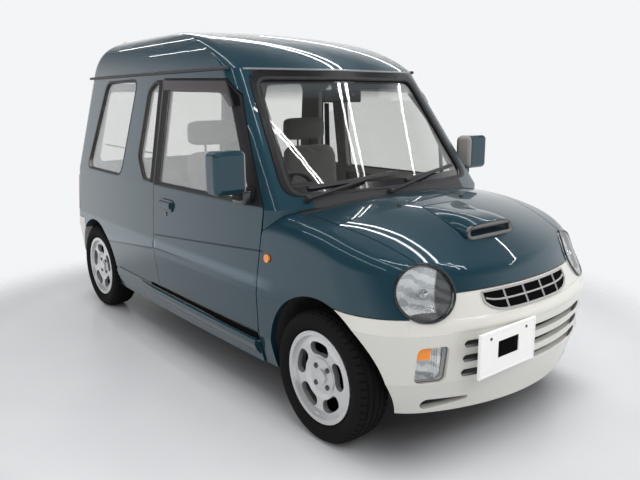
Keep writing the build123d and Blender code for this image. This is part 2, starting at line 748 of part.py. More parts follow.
# Engine with gearbox as one block, and the radiator ahead of it
hand_in(block(FRONT_AXLE_X - 200, FRONT_AXLE_X + 240, -RAIL_Y[0], RAIL_Y[0], 330, 720), "engine_block")
RADIATOR_X = NOSE_X - 175
with BuildPart() as buffers:
    with Locations((RADIATOR_X, 230, 700), (RADIATOR_X, -230, 700)):
        Cylinder(13, 200)
radiator = joined(
    block(RADIATOR_X - 15, RADIATOR_X + 15, -RAIL_Y[0], RAIL_Y[0], 262, 622), common(buffers.part, inner_front)
)
hand_in(radiator, "radiator")

# Wheels, each made at the left and turned on its axle
TYRE_PROFILE = [(RIM_RADIUS, 58), (192, 59), (208, 75), (232, 77.5), (254, 70), (263, 58), (266, 40)]


def tyre_at(x, y):
    """Tyre revolved from half a section, at an axle end."""
    half = [(TYRE_RADIUS - 266 + r, w * TYRE_WIDTH / 155) for r, w in TYRE_PROFILE[1:]]
    half = [(RIM_RADIUS, TYRE_PROFILE[0][1])] + half
    section = [(r, w) for r, w in half] + [(r, -w) for r, w in reversed(half)]
    with BuildPart() as tyre:
        with BuildSketch(Plane.YZ):
            with BuildLine():
                Polyline(*[(w, r) for r, w in section], close=True)
            make_face()
        revolve(axis=Axis.Y)
    return tyre.part.moved(Location((x, y, TYRE_RADIUS)))


WINDOW_ARC = CenterArc((0, 0), WINDOW_CIRCLE, -WINDOW_ANGLE / 2, WINDOW_ANGLE)


def rim_at(x, y, outward):
    """Alloy rim: barrel, dished face with five bean windows, four lug holes and a centre cap."""
    bed = RIM_RADIUS - SEAT_GAP
    with BuildPart() as rim:
        with BuildSketch(Plane.YZ):
            with BuildLine():
                Polyline(
                    (-66, bed), (-66, bed + 9), (-60.5, bed + 9), (-60.5, bed), (60.5, bed), (60.5, bed + 9),
                    (66, bed + 9), (66, bed - 9), (52, bed - 14), (40, bed - 22), (-60, bed - 14), close=True,
                )
            make_face()
        revolve(axis=Axis.Y)
        with BuildSketch(Plane.YZ):
            with BuildLine():
                Polyline(
                    (22, HUB_BORE), (22, 78), (34, 100), (34, bed - 16), (50, bed - 12), (58, 135),
                    (54, 88), (46, 70), (46, HUB_BORE), close=True,
                )
            make_face()
        revolve(axis=Axis.Y)
        with BuildSketch(Plane.XZ.offset(-100)):
            with PolarLocations(0, 5, start_angle=90):
                SlotArc(WINDOW_ARC, WINDOW_HEIGHT)
        extrude(amount=90, mode=Mode.SUBTRACT)
        with BuildSketch(Plane.XZ.offset(-100)):
            with PolarLocations(LUG_CIRCLE, 4, start_angle=45):
                Circle(9)
        extrude(amount=90, mode=Mode.SUBTRACT)
        with Locations(Location((0, 50, 0), (90, 0, 0))):
            Cylinder(29, 8)
    placed = rim.part if outward > 0 else rim.part.mirror(Plane.XZ)
    return placed.moved(Location((x, y, TYRE_RADIUS)))


for name, x, side in (
    ("front_left", FRONT_AXLE_X, 1),
    ("front_right", FRONT_AXLE_X, -1),
    ("rear_left", REAR_AXLE_X, 1),
    ("rear_right", REAR_AXLE_X, -1),
):
    hand_in(tyre_at(x, side * WHEEL_Y), f"tyre_{name}")
    hand_in(rim_at(x, side * WHEEL_Y, side), f"rim_{name}")

# Front knuckles with strut, spring, brake disc and stub axle
HUB_BACK = WHEEL_Y + 22
with BuildPart() as knuckle:
    with Locations((FRONT_AXLE_X, STRUT_Y, (STRUT_TOP + 300) / 2)):
        Cylinder(23, STRUT_TOP - 300)
    with Locations((FRONT_AXLE_X, STRUT_Y, 650)):
        Cylinder(52, 190)
    add(block(FRONT_AXLE_X - 34, FRONT_AXLE_X + 34, STRUT_Y - 20, KINGPIN_Y + 15, ARM_TOP + SEAT_GAP, 345))
    add(cross_cylinder(112, FRONT_AXLE_X, TYRE_RADIUS, KINGPIN_Y + 14, KINGPIN_Y + 30))
    add(cross_cylinder(60, FRONT_AXLE_X, TYRE_RADIUS, KINGPIN_Y, HUB_BACK - 5))
    add(cross_cylinder(AXLE_RADIUS, FRONT_AXLE_X, TYRE_RADIUS, KINGPIN_Y, HUB_BACK + 22))
hand_in(knuckle.part, "knuckle_left")
hand_in(twin(knuckle.part), "knuckle_right")

# Rear axle beam with trailing arms, springs, drums and stub axles
BEAM_R = 36
axle_pieces = [cross_cylinder(BEAM_R, REAR_AXLE_X, TYRE_RADIUS, -530, 530)]
for side in (1, -1):
    axle_pieces.append(cross_cylinder(98, REAR_AXLE_X, TYRE_RADIUS, side * 535, side * 575))
    axle_pieces.append(cross_cylinder(60, REAR_AXLE_X, TYRE_RADIUS, side * 520, side * (HUB_BACK - 5)))
    axle_pieces.append(cross_cylinder(AXLE_RADIUS, REAR_AXLE_X, TYRE_RADIUS, side * 520, side * (HUB_BACK + 22)))
    axle_pieces.append(block(REAR_AXLE_X, RISER_X - FLOOR, side * 400, side * 440, 245, 285))
    with BuildPart() as rear_spring:
        with Locations((REAR_AXLE_X, side * 400, (TYRE_RADIUS + LOAD_FLOOR_Z - FLOOR) / 2)):
            Cylinder(46, LOAD_FLOOR_Z - FLOOR - TYRE_RADIUS)
    axle_pieces.append(rear_spring.part)
hand_in(joined(*axle_pieces), "rear_axle")

# Fuel tank and exhaust under the floor
hand_in(block(RISER_X + 30, RISER_X + 420, -420, 120, 150, FLOOR_Z), "fuel_tank")
PIPE_Y = 200
PIPE_Z = 180
with BuildPart() as exhaust:
    with Locations(Location(((FRONT_AXLE_X - 180 + TAIL_X + 90) / 2, PIPE_Y, PIPE_Z), (0, 90, 0))):
        Cylinder(19, FRONT_AXLE_X - 180 - TAIL_X - 90)
    with Locations((FRONT_AXLE_X - 180, PIPE_Y, (PIPE_Z + 330) / 2)):
        Cylinder(19, 330 - PIPE_Z)
    with Locations(Location((TAIL_X + 270, PIPE_Y, 232), (0, 90, 0))):
        Cylinder(62, 210)
    with Locations(Location((TAIL_X + 75, PIPE_Y, PIPE_Z), (0, 90, 0))):
        Cylinder(17, 110)
    for x in (BULKHEAD_X - 300, RISER_X + 480):
        add(block(x - 10, x + 10, PIPE_Y - 8, PIPE_Y + 8, PIPE_Z, FLOOR_Z))
hand_in(exhaust.part, "exhaust")

# Seats, soft solids on plain bases
SEAT_Y = 318
SEAT_HALF = 215
SEAT_X = FRONT_AXLE_X - 1270
BASE_Z = 400


def seat(y, half, x, length, base_z, back_top, lean):
    """Cushion, leaning backrest and head rests as one soft solid."""
    with BuildPart() as soft:
        add(block(x, x + length, y - half, y + half, base_z, base_z + 125, 35))
        back_points = [(x, base_z + 40), (x + 105, base_z + 60), (x + 85 - lean, back_top), (x - 20 - lean, back_top)]
        add(side_prism(back_points, y - half, y + half, 30))
    return soft.part


front_seats = []
for side in (1, -1):
    y = side * SEAT_Y
    rest = joined(
        block(SEAT_X - 125, SEAT_X - 45, y - 120, y + 120, 1105, 1245, 30),
        block(SEAT_X - 92, SEAT_X - 78, y - 60, y + 60, 1050, 1120),
    )
    base = block(SEAT_X + 60, SEAT_X + 400, y - 170, y + 170, FLOOR_Z + FLOOR, BASE_Z + 5)
    front_seats.append(joined(seat(y, SEAT_HALF, SEAT_X, 490, BASE_Z, 1070, 90), rest, base))
hand_in(joined(*front_seats), "front_seats")
bench_base = block(RISER_X + 40, RISER_X + 380, -440, 440, FLOOR_Z + FLOOR, 375)
bench = joined(seat(0, 470, RISER_X + 20, 430, 370, 930, 80), bench_base)
hand_in(bench, "rear_seat")

# Dashboard, steering column and steering wheel at the car's right
DASH_HALF = 553
dash_points = [
    (BULKHEAD_X, 640), (BULKHEAD_X, 815), (BULKHEAD_X - 34, 880), (BULKHEAD_X - 130, 880),
    (BULKHEAD_X - 190, 815), (BULKHEAD_X - 160, 640),
]
WHEEL_CENTRE = (FRONT_AXLE_X - 715, -SEAT_Y, 838)
WHEEL_TILT = 32
steer_plane = Plane(
    origin=WHEEL_CENTRE, x_dir=(0, 1, 0),
    z_dir=(-math.cos(math.radians(WHEEL_TILT)), 0, math.sin(math.radians(WHEEL_TILT))),
)
with BuildPart() as steering_wheel:
    with Locations(Location(steer_plane)):
        Torus(178, 13)
        Cylinder(48, 40)
        for angle in (0, 180, 270):
            with Locations(Location((0, 0, 0), (0, 0, angle))):
                with Locations((110, 0, 0)):
                    Box(130, 30, 14)
hand_in(steering_wheel.part, "steering_wheel")
column_length = 190
with BuildPart() as column:
    with Locations(Location(steer_plane.offset(-20 - SEAT_GAP - column_length / 2))):
        Cylinder(26, column_length)
hand_in(joined(side_prism(dash_points, -DASH_HALF, DASH_HALF), column.part), "dashboard")

# Inside mirror on the screen
MIRROR_TOP_Z = 1372
inside_mirror = joined(
    block(FRONT_AXLE_X - 640, FRONT_AXLE_X - 612, -118, 118, MIRROR_TOP_Z - 62, MIRROR_TOP_Z, 8),
    common(
        block(FRONT_AXLE_X - 622, FRONT_AXLE_X - 400, -14, 14, MIRROR_TOP_Z - 34, MIRROR_TOP_Z - 10),
        cabin_form(GLASS_SET_IN + GLASS + SEAT_GAP),
    ),
)
hand_in(inside_mirror, "inside_mirror")

# Door mirrors, visors, wipers and repeaters ride just off the skin
skin_gap = cabin_form(-SEAT_GAP)
MIRROR_BACK = 440
with BuildPart() as mirror_case:
    add(block(FRONT_AXLE_X - MIRROR_BACK - 45, FRONT_AXLE_X - MIRROR_BACK + 50, 708, 858, 950, 1126))
    fillet(mirror_case.edges(), 24)
mirror_arm = block(FRONT_AXLE_X - MIRROR_BACK - 25, FRONT_AXLE_X - MIRROR_BACK + 25, 600, 740, 922, 968)
door_mirror = joined(mirror_case.part, largest(cut(mirror_arm, skin_gap)))
hand_in(door_mirror, "door_mirror_left")
hand_in(twin(door_mirror), "door_mirror_right")
VISOR = [(604, 1304), (628, 1345), (716, 1409), (1322, 1426), (1322, 1378), (742, 1358), (664, 1298)]
visor = common(cut(cabin_form(-6), skin_gap), side_prism(back(VISOR), 300, 900))
hand_in(visor, "door_visor_left")
hand_in(twin(visor), "door_visor_right")
repeater_skin = cut(lower_form(-PROUD), lower_form(-SEAT_GAP))
repeater = common(repeater_skin, cross_cylinder(17, FRONT_AXLE_X - 307, 690, 300, 900))
hand_in(joined(repeater, twin(repeater)), "side_repeaters")
WIPERS = [
    [(-470, 958), (30, 990), (30, 1002), (-470, 970)],
    [(60, 954), (480, 986), (480, 998), (60, 966)],
]
screen_proud = cut(cabin_form(-3), cabin_form(GLASS_SET_IN - SEAT_GAP))
wiper_blades = [common(screen_proud, end_prism(points, 0, FRONT_AXLE_X)) for points in WIPERS]
hand_in(joined(*wiper_blades), "wipers")

# Bonnet scoop: a low wedge with an open mouth
SCOOP_HALF = 128
SCOOP_X = (FRONT_AXLE_X + 50, FRONT_AXLE_X + 297)
SCOOP_RISE = 50
scoop_front = bonnet_z(SCOOP_X[1])
scoop_points = [
    (SCOOP_X[0], bonnet_z(SCOOP_X[0]) - 40), (SCOOP_X[0], bonnet_z(SCOOP_X[0]) - 2),
    (SCOOP_X[1] - 40, scoop_front + SCOOP_RISE), (SCOOP_X[1], scoop_front + SCOOP_RISE - 14),
    (SCOOP_X[1] + 10, scoop_front - 40),
]
mouth = block(SCOOP_X[1] - 90, SCOOP_X[1] + 60, -SCOOP_HALF + 14, SCOOP_HALF - 14, scoop_front + 3, scoop_front + 30)
scoop_top = scoop_front + SCOOP_RISE + 60
scoop_loaf = end_prism(
    [(-SCOOP_HALF, 500), (SCOOP_HALF, 500), (SCOOP_HALF - 22, scoop_top), (22 - SCOOP_HALF, scoop_top)],
    SCOOP_X[0] - 20, SCOOP_X[1] + 40,
)
scoop = common(side_prism(scoop_points, -SCOOP_HALF, SCOOP_HALF, 6), scoop_loaf)
hand_in(largest(cut(scoop, front_form(-SEAT_GAP), mouth)), "bonnet_scoop")
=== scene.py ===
import math
import bmesh
import bpy
import numpy as np
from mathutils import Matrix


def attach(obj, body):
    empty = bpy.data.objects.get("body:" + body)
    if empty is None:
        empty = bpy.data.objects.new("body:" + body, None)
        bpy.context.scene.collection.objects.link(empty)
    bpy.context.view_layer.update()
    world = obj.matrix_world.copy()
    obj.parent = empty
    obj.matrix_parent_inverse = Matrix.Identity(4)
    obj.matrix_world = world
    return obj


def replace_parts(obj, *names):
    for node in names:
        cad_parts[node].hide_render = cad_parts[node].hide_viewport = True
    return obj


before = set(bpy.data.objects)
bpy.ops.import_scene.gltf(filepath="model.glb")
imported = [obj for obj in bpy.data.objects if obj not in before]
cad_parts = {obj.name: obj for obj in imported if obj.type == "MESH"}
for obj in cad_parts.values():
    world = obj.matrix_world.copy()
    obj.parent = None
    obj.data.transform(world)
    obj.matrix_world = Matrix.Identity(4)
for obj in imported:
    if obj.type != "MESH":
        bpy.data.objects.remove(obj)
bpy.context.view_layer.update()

# Places in metres, the same as in the solids: +X forward, +Y the car's left, +Z up
FRONT_AXLE_X = 1.0975
REAR_AXLE_X = -1.1825
WHEEL_Y = 0.6
AXLE_Z = 0.266
BELT_Z = 0.885
GUTTER_Z = 1.465
SIDES = (("left", 1.0), ("right", -1.0))
FORWARD, LEFT, UP = (1.0, 0.0, 0.0), (0.0, 1.0, 0.0), (0.0, 0.0, 1.0)
# Heights of the body's outlines, and its half width at each
BODY_Z = [0.2, 0.33, 0.52, BELT_Z, GUTTER_Z]
BODY_HALF = [0.6475, 0.6815, 0.6975, 0.6795, 0.592]
# Side pressings: the line across the door, and the facet's foot, which falls behind its bend
LINE_Z, LINE_FALL = 0.7425, 0.086
FACET_Z, FACET_BEND, FACET_FALL = 0.553, 1.33, 0.105
WHEELS = [
    ("front_left", FRONT_AXLE_X, 1.0),
    ("front_right", FRONT_AXLE_X, -1.0),
    ("rear_left", REAR_AXLE_X, 1.0),
    ("rear_right", REAR_AXLE_X, -1.0),
]


class Wire:
    """One socket of a material's nodes; sums and products of wires add Math nodes."""

    def __init__(self, tree, socket=None):
        self.tree = tree
        self.socket = socket

    def node(self, kind, settings=None, sockets=None, output=0):
        """Add a node of a kind, set its settings, fill or link its sockets, and give one output."""
        made = self.tree.nodes.new(kind)
        for key, value in (settings or {}).items():
            setattr(made, key, value)
        for key, value in (sockets or {}).items():
            if isinstance(value, Wire):
                self.tree.links.new(value.socket, made.inputs[key])
            else:
                made.inputs[key].default_value = value
        return Wire(self.tree, made.outputs[output])

    def math(self, operation, *others):
        sockets = {i + 1: other for i, other in enumerate(others)}
        return self.node("ShaderNodeMath", {"operation": operation}, {0: self, **sockets})

    def __add__(self, other):
        return self.math("ADD", other)

    __radd__ = __add__

    def __mul__(self, other):
        return self.math("MULTIPLY", other)

    __rmul__ = __mul__

    def __sub__(self, other):
        return self.math("SUBTRACT", other)

    def __rsub__(self, other):
        return self.math("MULTIPLY_ADD", -1.0, other)

    def __gt__(self, other):
        return self.math("GREATER_THAN", other)

    def __lt__(self, other):
        return self.math("LESS_THAN", other)

    def ease(self, low, high):
        """0 below low, 1 above high, smooth between."""
        settings = {"interpolation_type": "SMOOTHSTEP", "clamp": True}
        return self.node("ShaderNodeMapRange", settings, {0: self, 1: low, 2: high, 3: 0.0, 4: 1.0})


def colour_mix(factor, low, high):
    """Colour low where the factor is 0, and high where it is 1."""
    pair = [(*c, 1.0) if isinstance(c, tuple) else c for c in (low, high)]
    return factor.node("ShaderNodeMix", {"data_type": "RGBA"}, {0: factor, 6: pair[0], 7: pair[1]}, 2)


def shader_mix(factor, low, high):
    """Shader low where the factor is 0, and high where it is 1."""
    return factor.node("ShaderNodeMixShader", None, {0: factor, 1: low, 2: high})


def parts_of(vector):
    """x, y and z of a vector."""
    return [vector.node("ShaderNodeSeparateXYZ", None, {0: vector}, i) for i in range(3)]


def blank(name):
    """A new material with no nodes, the wire that its nodes start from, object coordinates, and their x, y and z."""
    material = bpy.data.materials.new(name)
    material.use_nodes = True
    material.node_tree.nodes.clear()
    start = Wire(material.node_tree)
    at = start.node("ShaderNodeTexCoord", output=3)
    return (material, start, at, *parts_of(at))


def noise(at, scale, detail=3.0):
    """Cloudy value of 0 to 1 at a scale in features per metre."""
    return at.node("ShaderNodeTexNoise", None, {"Vector": at, "Scale": scale, "Detail": detail})


def bump(height, strength=0.3, depth=0.001):
    """Normal that shows a height map."""
    return height.node("ShaderNodeBump", None, {"Height": height, "Strength": strength, "Distance": depth})


def skin(start, sockets):
    """Principled surface with the given sockets."""
    return start.node("ShaderNodeBsdfPrincipled", None, sockets)


def close(material, shader):
    """Put a shader on the material's output, and give the material."""
    tree = material.node_tree
    tree.links.new(shader.socket, tree.nodes.new("ShaderNodeOutputMaterial").inputs["Surface"])
    return material


def inward(at, x, y, z):
    """1 on faces that look towards the middle of the cabin."""
    normal = at.node("ShaderNodeNewGeometry", output=1)
    n = parts_of(normal)
    return (n[0] * (x + 0.1) * 0.35 + n[1] * y + n[2] * (z - 0.9)) < 0.0


TEAL = (0.013, 0.050, 0.070)
TEAL_DEEP = (0.007, 0.030, 0.044)
# Lighter teal of the painted highlight on the side facet
TEAL_PAINTED_HIGHLIGHT = (0.085, 0.130, 0.160)
BLACK = (0.012, 0.012, 0.013)
TRIM_GREY = (0.30, 0.29, 0.275)
FULL_TURN = 6.2832


def painted_side_marks(x, z):
    """Side pressings in painted light: a painted highlight on a facet that widens behind the door, and thin lines of
    painted shade across the door and at the facet's foot.
    """
    behind = x * -1.0 + FRONT_AXLE_X
    upper = behind * -LINE_FALL + LINE_Z
    line = (1.0 - (z - upper).math("ABSOLUTE").ease(0.0012, 0.0055)) * (behind < 1.37) * (behind > 0.34)
    foot = FACET_Z - (behind - FACET_BEND).math("MAXIMUM", 0.0) * FACET_FALL
    facet_highlight = (z - foot).ease(-0.004, 0.005) * (1.0 - z.ease(0.584, 0.614)) * behind.ease(0.24, 0.40)
    rim = (1.0 - (z - foot).math("ABSOLUTE").ease(0.001, 0.0055)) * behind.ease(0.7, 1.3) * 0.85
    return facet_highlight, line.math("MAXIMUM", rim)


def paint(name, zone=None, painted_creases=False, lining=TRIM_GREY):
    """Metallic teal clear coat with fine flake; a zone of black trim, any lining on faces that look inwards, and on
    pressed sides a painted highlight and painted shade lines over a bump.
    """
    material, start, at, x, y, z = blank(name)
    flake = noise(at, 5200.0, 1.0)
    cloud = noise(at, 2.2, 2.0)
    base = colour_mix(flake * 0.55 + cloud * 0.35, TEAL_DEEP, TEAL)
    line = x * 0.0
    if painted_creases:
        # Painted highlight on the side facet and painted shade along the pressing lines, where the coat is also
        # thinned
        facet_highlight, line = painted_side_marks(x, z)
        base = colour_mix(facet_highlight * 0.8, base, TEAL_PAINTED_HIGHLIGHT)
        base = colour_mix(line * 0.8, base, (0.003, 0.009, 0.013))
    inside = inward(at, x, y, z) if lining else x * 0.0
    lining = lining or TRIM_GREY
    dark = zone(x, y, z) if zone else (x * 0.0)
    dark_fine = noise(at, 900.0, 2.0)
    base = colour_mix(dark, base, colour_mix(dark_fine, BLACK, (0.022, 0.022, 0.024)))
    weave = noise(at, 420.0, 4.0)
    base = colour_mix(inside, base, colour_mix(weave, tuple(c * 0.75 for c in lining), lining))
    trim = dark.math("MAXIMUM", inside)
    rough = 0.3 + trim * 0.2 + inside * 0.35 + flake * 0.05
    sockets = {
        "Base Color": base,
        "Roughness": rough,
        "Metallic": (1.0 - trim) * 0.35,
        "Specular IOR Level": 0.12,
        "Coat Weight": (1.0 - trim) * (1.0 - line * 0.75),
        "Coat Roughness": 0.02,
        "Coat IOR": 1.45,
    }
    if painted_creases:
        sockets["Normal"] = bump(1.0 - line, 0.5, 0.002)
    return close(material, skin(start, sockets))


def plain(name, low, high, scale, rough, metal=0.0, coat=0.0, depth=0.0004, strength=0.25, detail=4.0, gloss=0.5):
    """Two close colours in a cloudy mix, with roughness and a fine bump from the same noise."""
    material, start, at, x, y, z = blank(name)
    grain = noise(at, scale, detail)
    cloud = noise(at, scale * 0.06, 3.0)
    sockets = {
        "Base Color": colour_mix(grain * 0.5 + cloud * 0.5, low, high),
        "Roughness": rough + (cloud - 0.5) * 0.16,
        "Specular IOR Level": gloss,
        "Metallic": metal,
        "Coat Weight": coat,
        "Coat Roughness": 0.04,
        "Normal": bump(grain, strength, depth),
    }
    return close(material, skin(start, sockets))


def mirror_share(start):
    """Share of light that a pane mirrors: small face on, all at a grazing view."""
    facing = start.node("ShaderNodeLayerWeight", None, {"Blend": 0.5}, 1)
    return facing.math("POWER", 4.0) * 0.9 + 0.03


def glazing(name, tint, border=None, shade=None, ink=BLACK, veil=0.0):
    """Clear pane: see-through with a sharp reflection that a veil raises, a printed border and a shade band."""
    material, start, at, x, y, z = blank(name)
    dust = noise(at, 30.0, 3.0)
    clear = start.node("ShaderNodeBsdfTransparent", None, {"Color": (*tint, 1.0)})
    rough = 0.015 + dust * 0.015
    glossy = skin(start, {"Base Color": (0.90, 0.91, 0.92, 1.0), "Metallic": 1.0, "Roughness": rough})
    seen = mirror_share(start) + veil
    if shade:
        seen = seen.math("MAXIMUM", shade(x, y, z))
    pane = shader_mix(seen, clear, glossy)
    if border:
        frit = skin(start, {"Base Color": (*ink, 1.0), "Roughness": 0.12 + dust * 0.1, "Coat Weight": 0.5})
        pane = shader_mix(border(x, y, z), pane, frit)
    return close(material, pane)


def screen_border(x, y, z):
    """Black band round the windscreen: 22 mm at the sides, 30 mm below and 24 mm above."""
    side = y.math("ABSOLUTE")
    edge = 0.556 - (z - 0.937) * (0.064 / 0.487)
    near = (edge - side) < 0.022
    return near.math("MAXIMUM", (z - 0.937) < 0.03).math("MAXIMUM", (1.424 - z) < 0.024)


def screen_shade(x, y, z):
    """Tinted band along the top of the windscreen."""
    return z.ease(1.30, 1.40) * 0.55


def door_frame_zone(x, y, z):
    """Black sash of the door above the belt."""
    return z > 0.893


def pillar_zone(x, y, z):
    """Black pillar between the door and the narrow pane, and the pane's surround."""
    ahead = x > FRONT_AXLE_X - 1.42
    return (z > 0.9) * ahead * (x < FRONT_AXLE_X - 1.25) * (z < 1.43)


def amber_corner(x, y, z):
    """Upper outer corner of the fog lamp's lens."""
    return (y.math("ABSOLUTE") > 0.484) * (z > 0.424)


def mirror_arm_zone(x, y, z):
    """Black arm of the door mirror, inside of its case."""
    return (y.math("ABSOLUTE") < 0.711).math("MAXIMUM", z < 0.952)


TEAL_PAINT = paint("teal_paint")
TRIM_PAINT = paint("teal_paint_trim", lining=None)
SIDE_PAINT = paint("teal_paint_sides", pillar_zone, True)
DOOR_PAINT = paint("teal_paint_doors", door_frame_zone, True)
FENDER_PAINT = paint("teal_paint_fenders", None, True, (0.02, 0.03, 0.03))
BONNET_PAINT = paint("teal_paint_bonnet", None, False, (0.012, 0.05, 0.055))
PEARL_PAINT = plain(
    "pearl_paint", (0.56, 0.55, 0.51), (0.64, 0.63, 0.585), 1500.0, 0.36, 0.15, 0.8, 0.0001, 0.05, 1.0
)
BLACK_TRIM = plain("black_trim", (0.012, 0.012, 0.013), (0.03, 0.03, 0.032), 700.0, 0.5)
BLACK_GLOSS = plain("black_gloss", (0.008, 0.008, 0.009), (0.02, 0.02, 0.022), 500.0, 0.22, 0.0, 0.6, 0.0001, 0.05)
RUBBER = plain("tyre_rubber", (0.004, 0.004, 0.0042), (0.011, 0.0107, 0.0104), 260.0, 0.8, gloss=0.12)
SCREEN_BLACK = plain(
    "screen_black", (0.004, 0.004, 0.0045), (0.009, 0.009, 0.0095), 300.0, 0.3, 0.0, 0.0, 0.0001, 0.02, gloss=0.25
)
# Near black for sheets of painted shade in openings and gaps
SHADE_BLACK = plain("painted_shade_black", (0.002, 0.002, 0.002), (0.004, 0.004, 0.0042), 300.0, 0.95, gloss=0.05)
SEAL_RUBBER = plain("seal_rubber", (0.01, 0.01, 0.011), (0.026, 0.026, 0.027), 800.0, 0.55)
ALLOY = plain("alloy_silver", (0.55, 0.56, 0.56), (0.70, 0.70, 0.70), 1800.0, 0.34, 0.75, 0.4, 0.0001, 0.08)
CHROME = plain("bright_metal", (0.74, 0.74, 0.75), (0.84, 0.84, 0.85), 90.0, 0.1, 1.0, 0.0, 0.0002, 0.08)
STEEL = plain("plain_steel", (0.10, 0.10, 0.105), (0.24, 0.235, 0.23), 160.0, 0.5, 0.7)
IRON = plain("cast_iron", (0.07, 0.07, 0.07), (0.17, 0.165, 0.16), 240.0, 0.6, 0.5, 0.0, 0.001, 0.5)
UNDERSEAL = plain("underseal", (0.018, 0.018, 0.018), (0.05, 0.048, 0.045), 320.0, 0.85, 0.0, 0.0, 0.001, 0.5)
GREY_PLASTIC = plain("grey_plastic", (0.10, 0.097, 0.092), (0.15, 0.146, 0.138), 900.0, 0.6)
DASH_PLASTIC = plain("dash_plastic", (0.028, 0.028, 0.03), (0.06, 0.06, 0.062), 900.0, 0.62)
GRILLE_SILVER = plain("grille_silver", (0.40, 0.40, 0.39), (0.52, 0.52, 0.50), 1500.0, 0.35, 0.5, 0.4, 0.0001, 0.05)
WHITE_PLATE = plain("white_plate", (0.74, 0.74, 0.72), (0.82, 0.82, 0.80), 300.0, 0.35, 0.0, 0.3, 0.0001, 0.05)
STRIP_GREY = plain("strip_grey", (0.17, 0.18, 0.19), (0.25, 0.26, 0.27), 600.0, 0.3, 0.4, 0.4, 0.0001, 0.05)
MIRROR_SILVER = plain("mirror_silver", (0.80, 0.81, 0.82), (0.86, 0.87, 0.88), 8.0, 0.1, 1.0, 0.0, 0.0001, 0.01)
SIDE_GLASS = glazing("side_glass_tint", (0.97, 0.97, 0.955), veil=0.13)
SCREEN_GLASS = glazing("screen_glass", (0.98, 0.985, 0.975), screen_border, screen_shade)
LENS_GLASS = glazing("lamp_lens_clear", (0.95, 0.96, 0.96))
FOG_GLASS = glazing("fog_lens", (0.95, 0.96, 0.96), amber_corner, None, (0.85, 0.26, 0.015))
MIRROR_PAINT = paint("teal_paint_mirrors", mirror_arm_zone)


def smoked(name):
    """Smoky see-through plastic with a sharp reflection."""
    material, start, at, x, y, z = blank(name)
    haze = noise(at, 40.0, 2.0)
    clear = start.node("ShaderNodeBsdfTransparent", None, {"Color": (0.50, 0.46, 0.47, 1.0)})
    glossy = skin(start, {"Base Color": (0.55, 0.53, 0.54, 1.0), "Metallic": 1.0, "Roughness": 0.03 + haze * 0.03})
    return close(material, shader_mix(mirror_share(start) + 0.08, clear, glossy))


def lens(name, low, high, pitch):
    """Moulded coloured lens with fine prisms under a smooth coat."""
    material, start, at, x, y, z = blank(name)
    turn = FULL_TURN / pitch
    rows = (z * turn).math("SINE") * (y * turn).math("SINE")
    sockets = {
        "Base Color": colour_mix(rows * 0.35 + 0.5, low, high),
        "Roughness": 0.16 + noise(at, 60.0, 2.0) * 0.06,
        "Coat Weight": 1.0,
        "Coat Roughness": 0.03,
        "Normal": bump(rows, 0.35, 0.0015),
    }
    return close(material, skin(start, sockets))


def cloth(name, low, high, thread):
    """Woven cloth: two crossed sine threads, broad shade changes and soft sheen."""
    material, start, at, x, y, z = blank(name)
    turn = FULL_TURN / thread
    weave = ((x + z) * turn).math("SINE") * (y * turn).math("SINE")
    cloud = noise(at, 18.0, 3.0)
    sockets = {
        "Base Color": colour_mix(weave * 0.3 + cloud * 0.5 + 0.1, low, high),
        "Roughness": 0.85 + cloud * 0.1,
        "Sheen Weight": 0.25,
        "Normal": bump(weave, 0.4, 0.0006),
    }
    return close(material, skin(start, sockets))


SMOKED = smoked("smoked_plastic")
RED_LENS = lens("red_lens", (0.30, 0.008, 0.006), (0.55, 0.02, 0.012), 0.011)
AMBER_LENS = lens("amber_lens", (0.70, 0.16, 0.008), (0.90, 0.30, 0.02), 0.009)
SEAT_CLOTH = cloth("seat_cloth", (0.13, 0.126, 0.12), (0.20, 0.193, 0.183), 0.0035)
CARPET = cloth("carpet", (0.03, 0.03, 0.032), (0.06, 0.06, 0.062), 0.006)

NODE_FINISH = (
    (TEAL_PAINT, "roof_panel bonnet_scoop tailgate"),
    (SIDE_PAINT, "body_side_left body_side_right"),
    (DOOR_PAINT, "door_left door_right"),
    (FENDER_PAINT, "fender_left fender_right"),
    (BONNET_PAINT, "bonnet"),
    (MIRROR_PAINT, "door_mirror_left door_mirror_right"),
    (PEARL_PAINT, "front_bumper rear_bumper"),
    (SCREEN_GLASS, "windscreen"),
    (SIDE_GLASS, "side_glass door_glass_left door_glass_right tailgate_glass"),
    (SMOKED, "door_visor_left door_visor_right"),
    (LENS_GLASS, "headlamps"),
    (FOG_GLASS, "fog_lamps"),
    (CHROME, "headlamp_bowls"),
    (GRILLE_SILVER, "upper_grille"),
    (WHITE_PLATE, "number_plate"),
    (AMBER_LENS, "side_repeaters"),
    (RED_LENS, "tail_lamps"),
    (DASH_PLASTIC, "dashboard steering_wheel"),
    (SEAT_CLOTH, "front_seats rear_seat"),
    (IRON, "engine_block"),
    (BLACK_TRIM, "cowl_panel radiator wipers inside_mirror"),
    (STEEL, "front_frame rear_axle exhaust knuckle_left knuckle_right"),
    (UNDERSEAL, "floor_pan front_wheel_housings fuel_tank"),
    (RUBBER, " ".join(f"tyre_{wheel}" for wheel, _, _ in WHEELS)),
    (ALLOY, " ".join(f"rim_{wheel}" for wheel, _, _ in WHEELS)),
)
for material, nodes in NODE_FINISH:
    for node in nodes.split():
        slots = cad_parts[node].data.materials
        slots.clear()
        slots.append(material)


def columns(*parts):
    """Coordinates side by side along the last axis, spread to one shape."""
    return np.stack(np.broadcast_arrays(*parts), -1)


def grid(first, last, count, low, high, rows):
    """Even values across and up, as two grids."""
    return np.meshgrid(np.linspace(first, last, count), np.linspace(low, high, rows), indexing="ij")


def rect(low, high):
    """Corners of a rectangle between two of them."""
    (a, b), (c, d) = low, high
    return [(a, b), (c, b), (c, d), (a, d)]


def trapezoid(foot, low, top, high):
    """Corners of a figure even about its middle, from its half width below and above."""
    return np.array([(-foot, low), (foot, low), (top, high), (-top, high)])


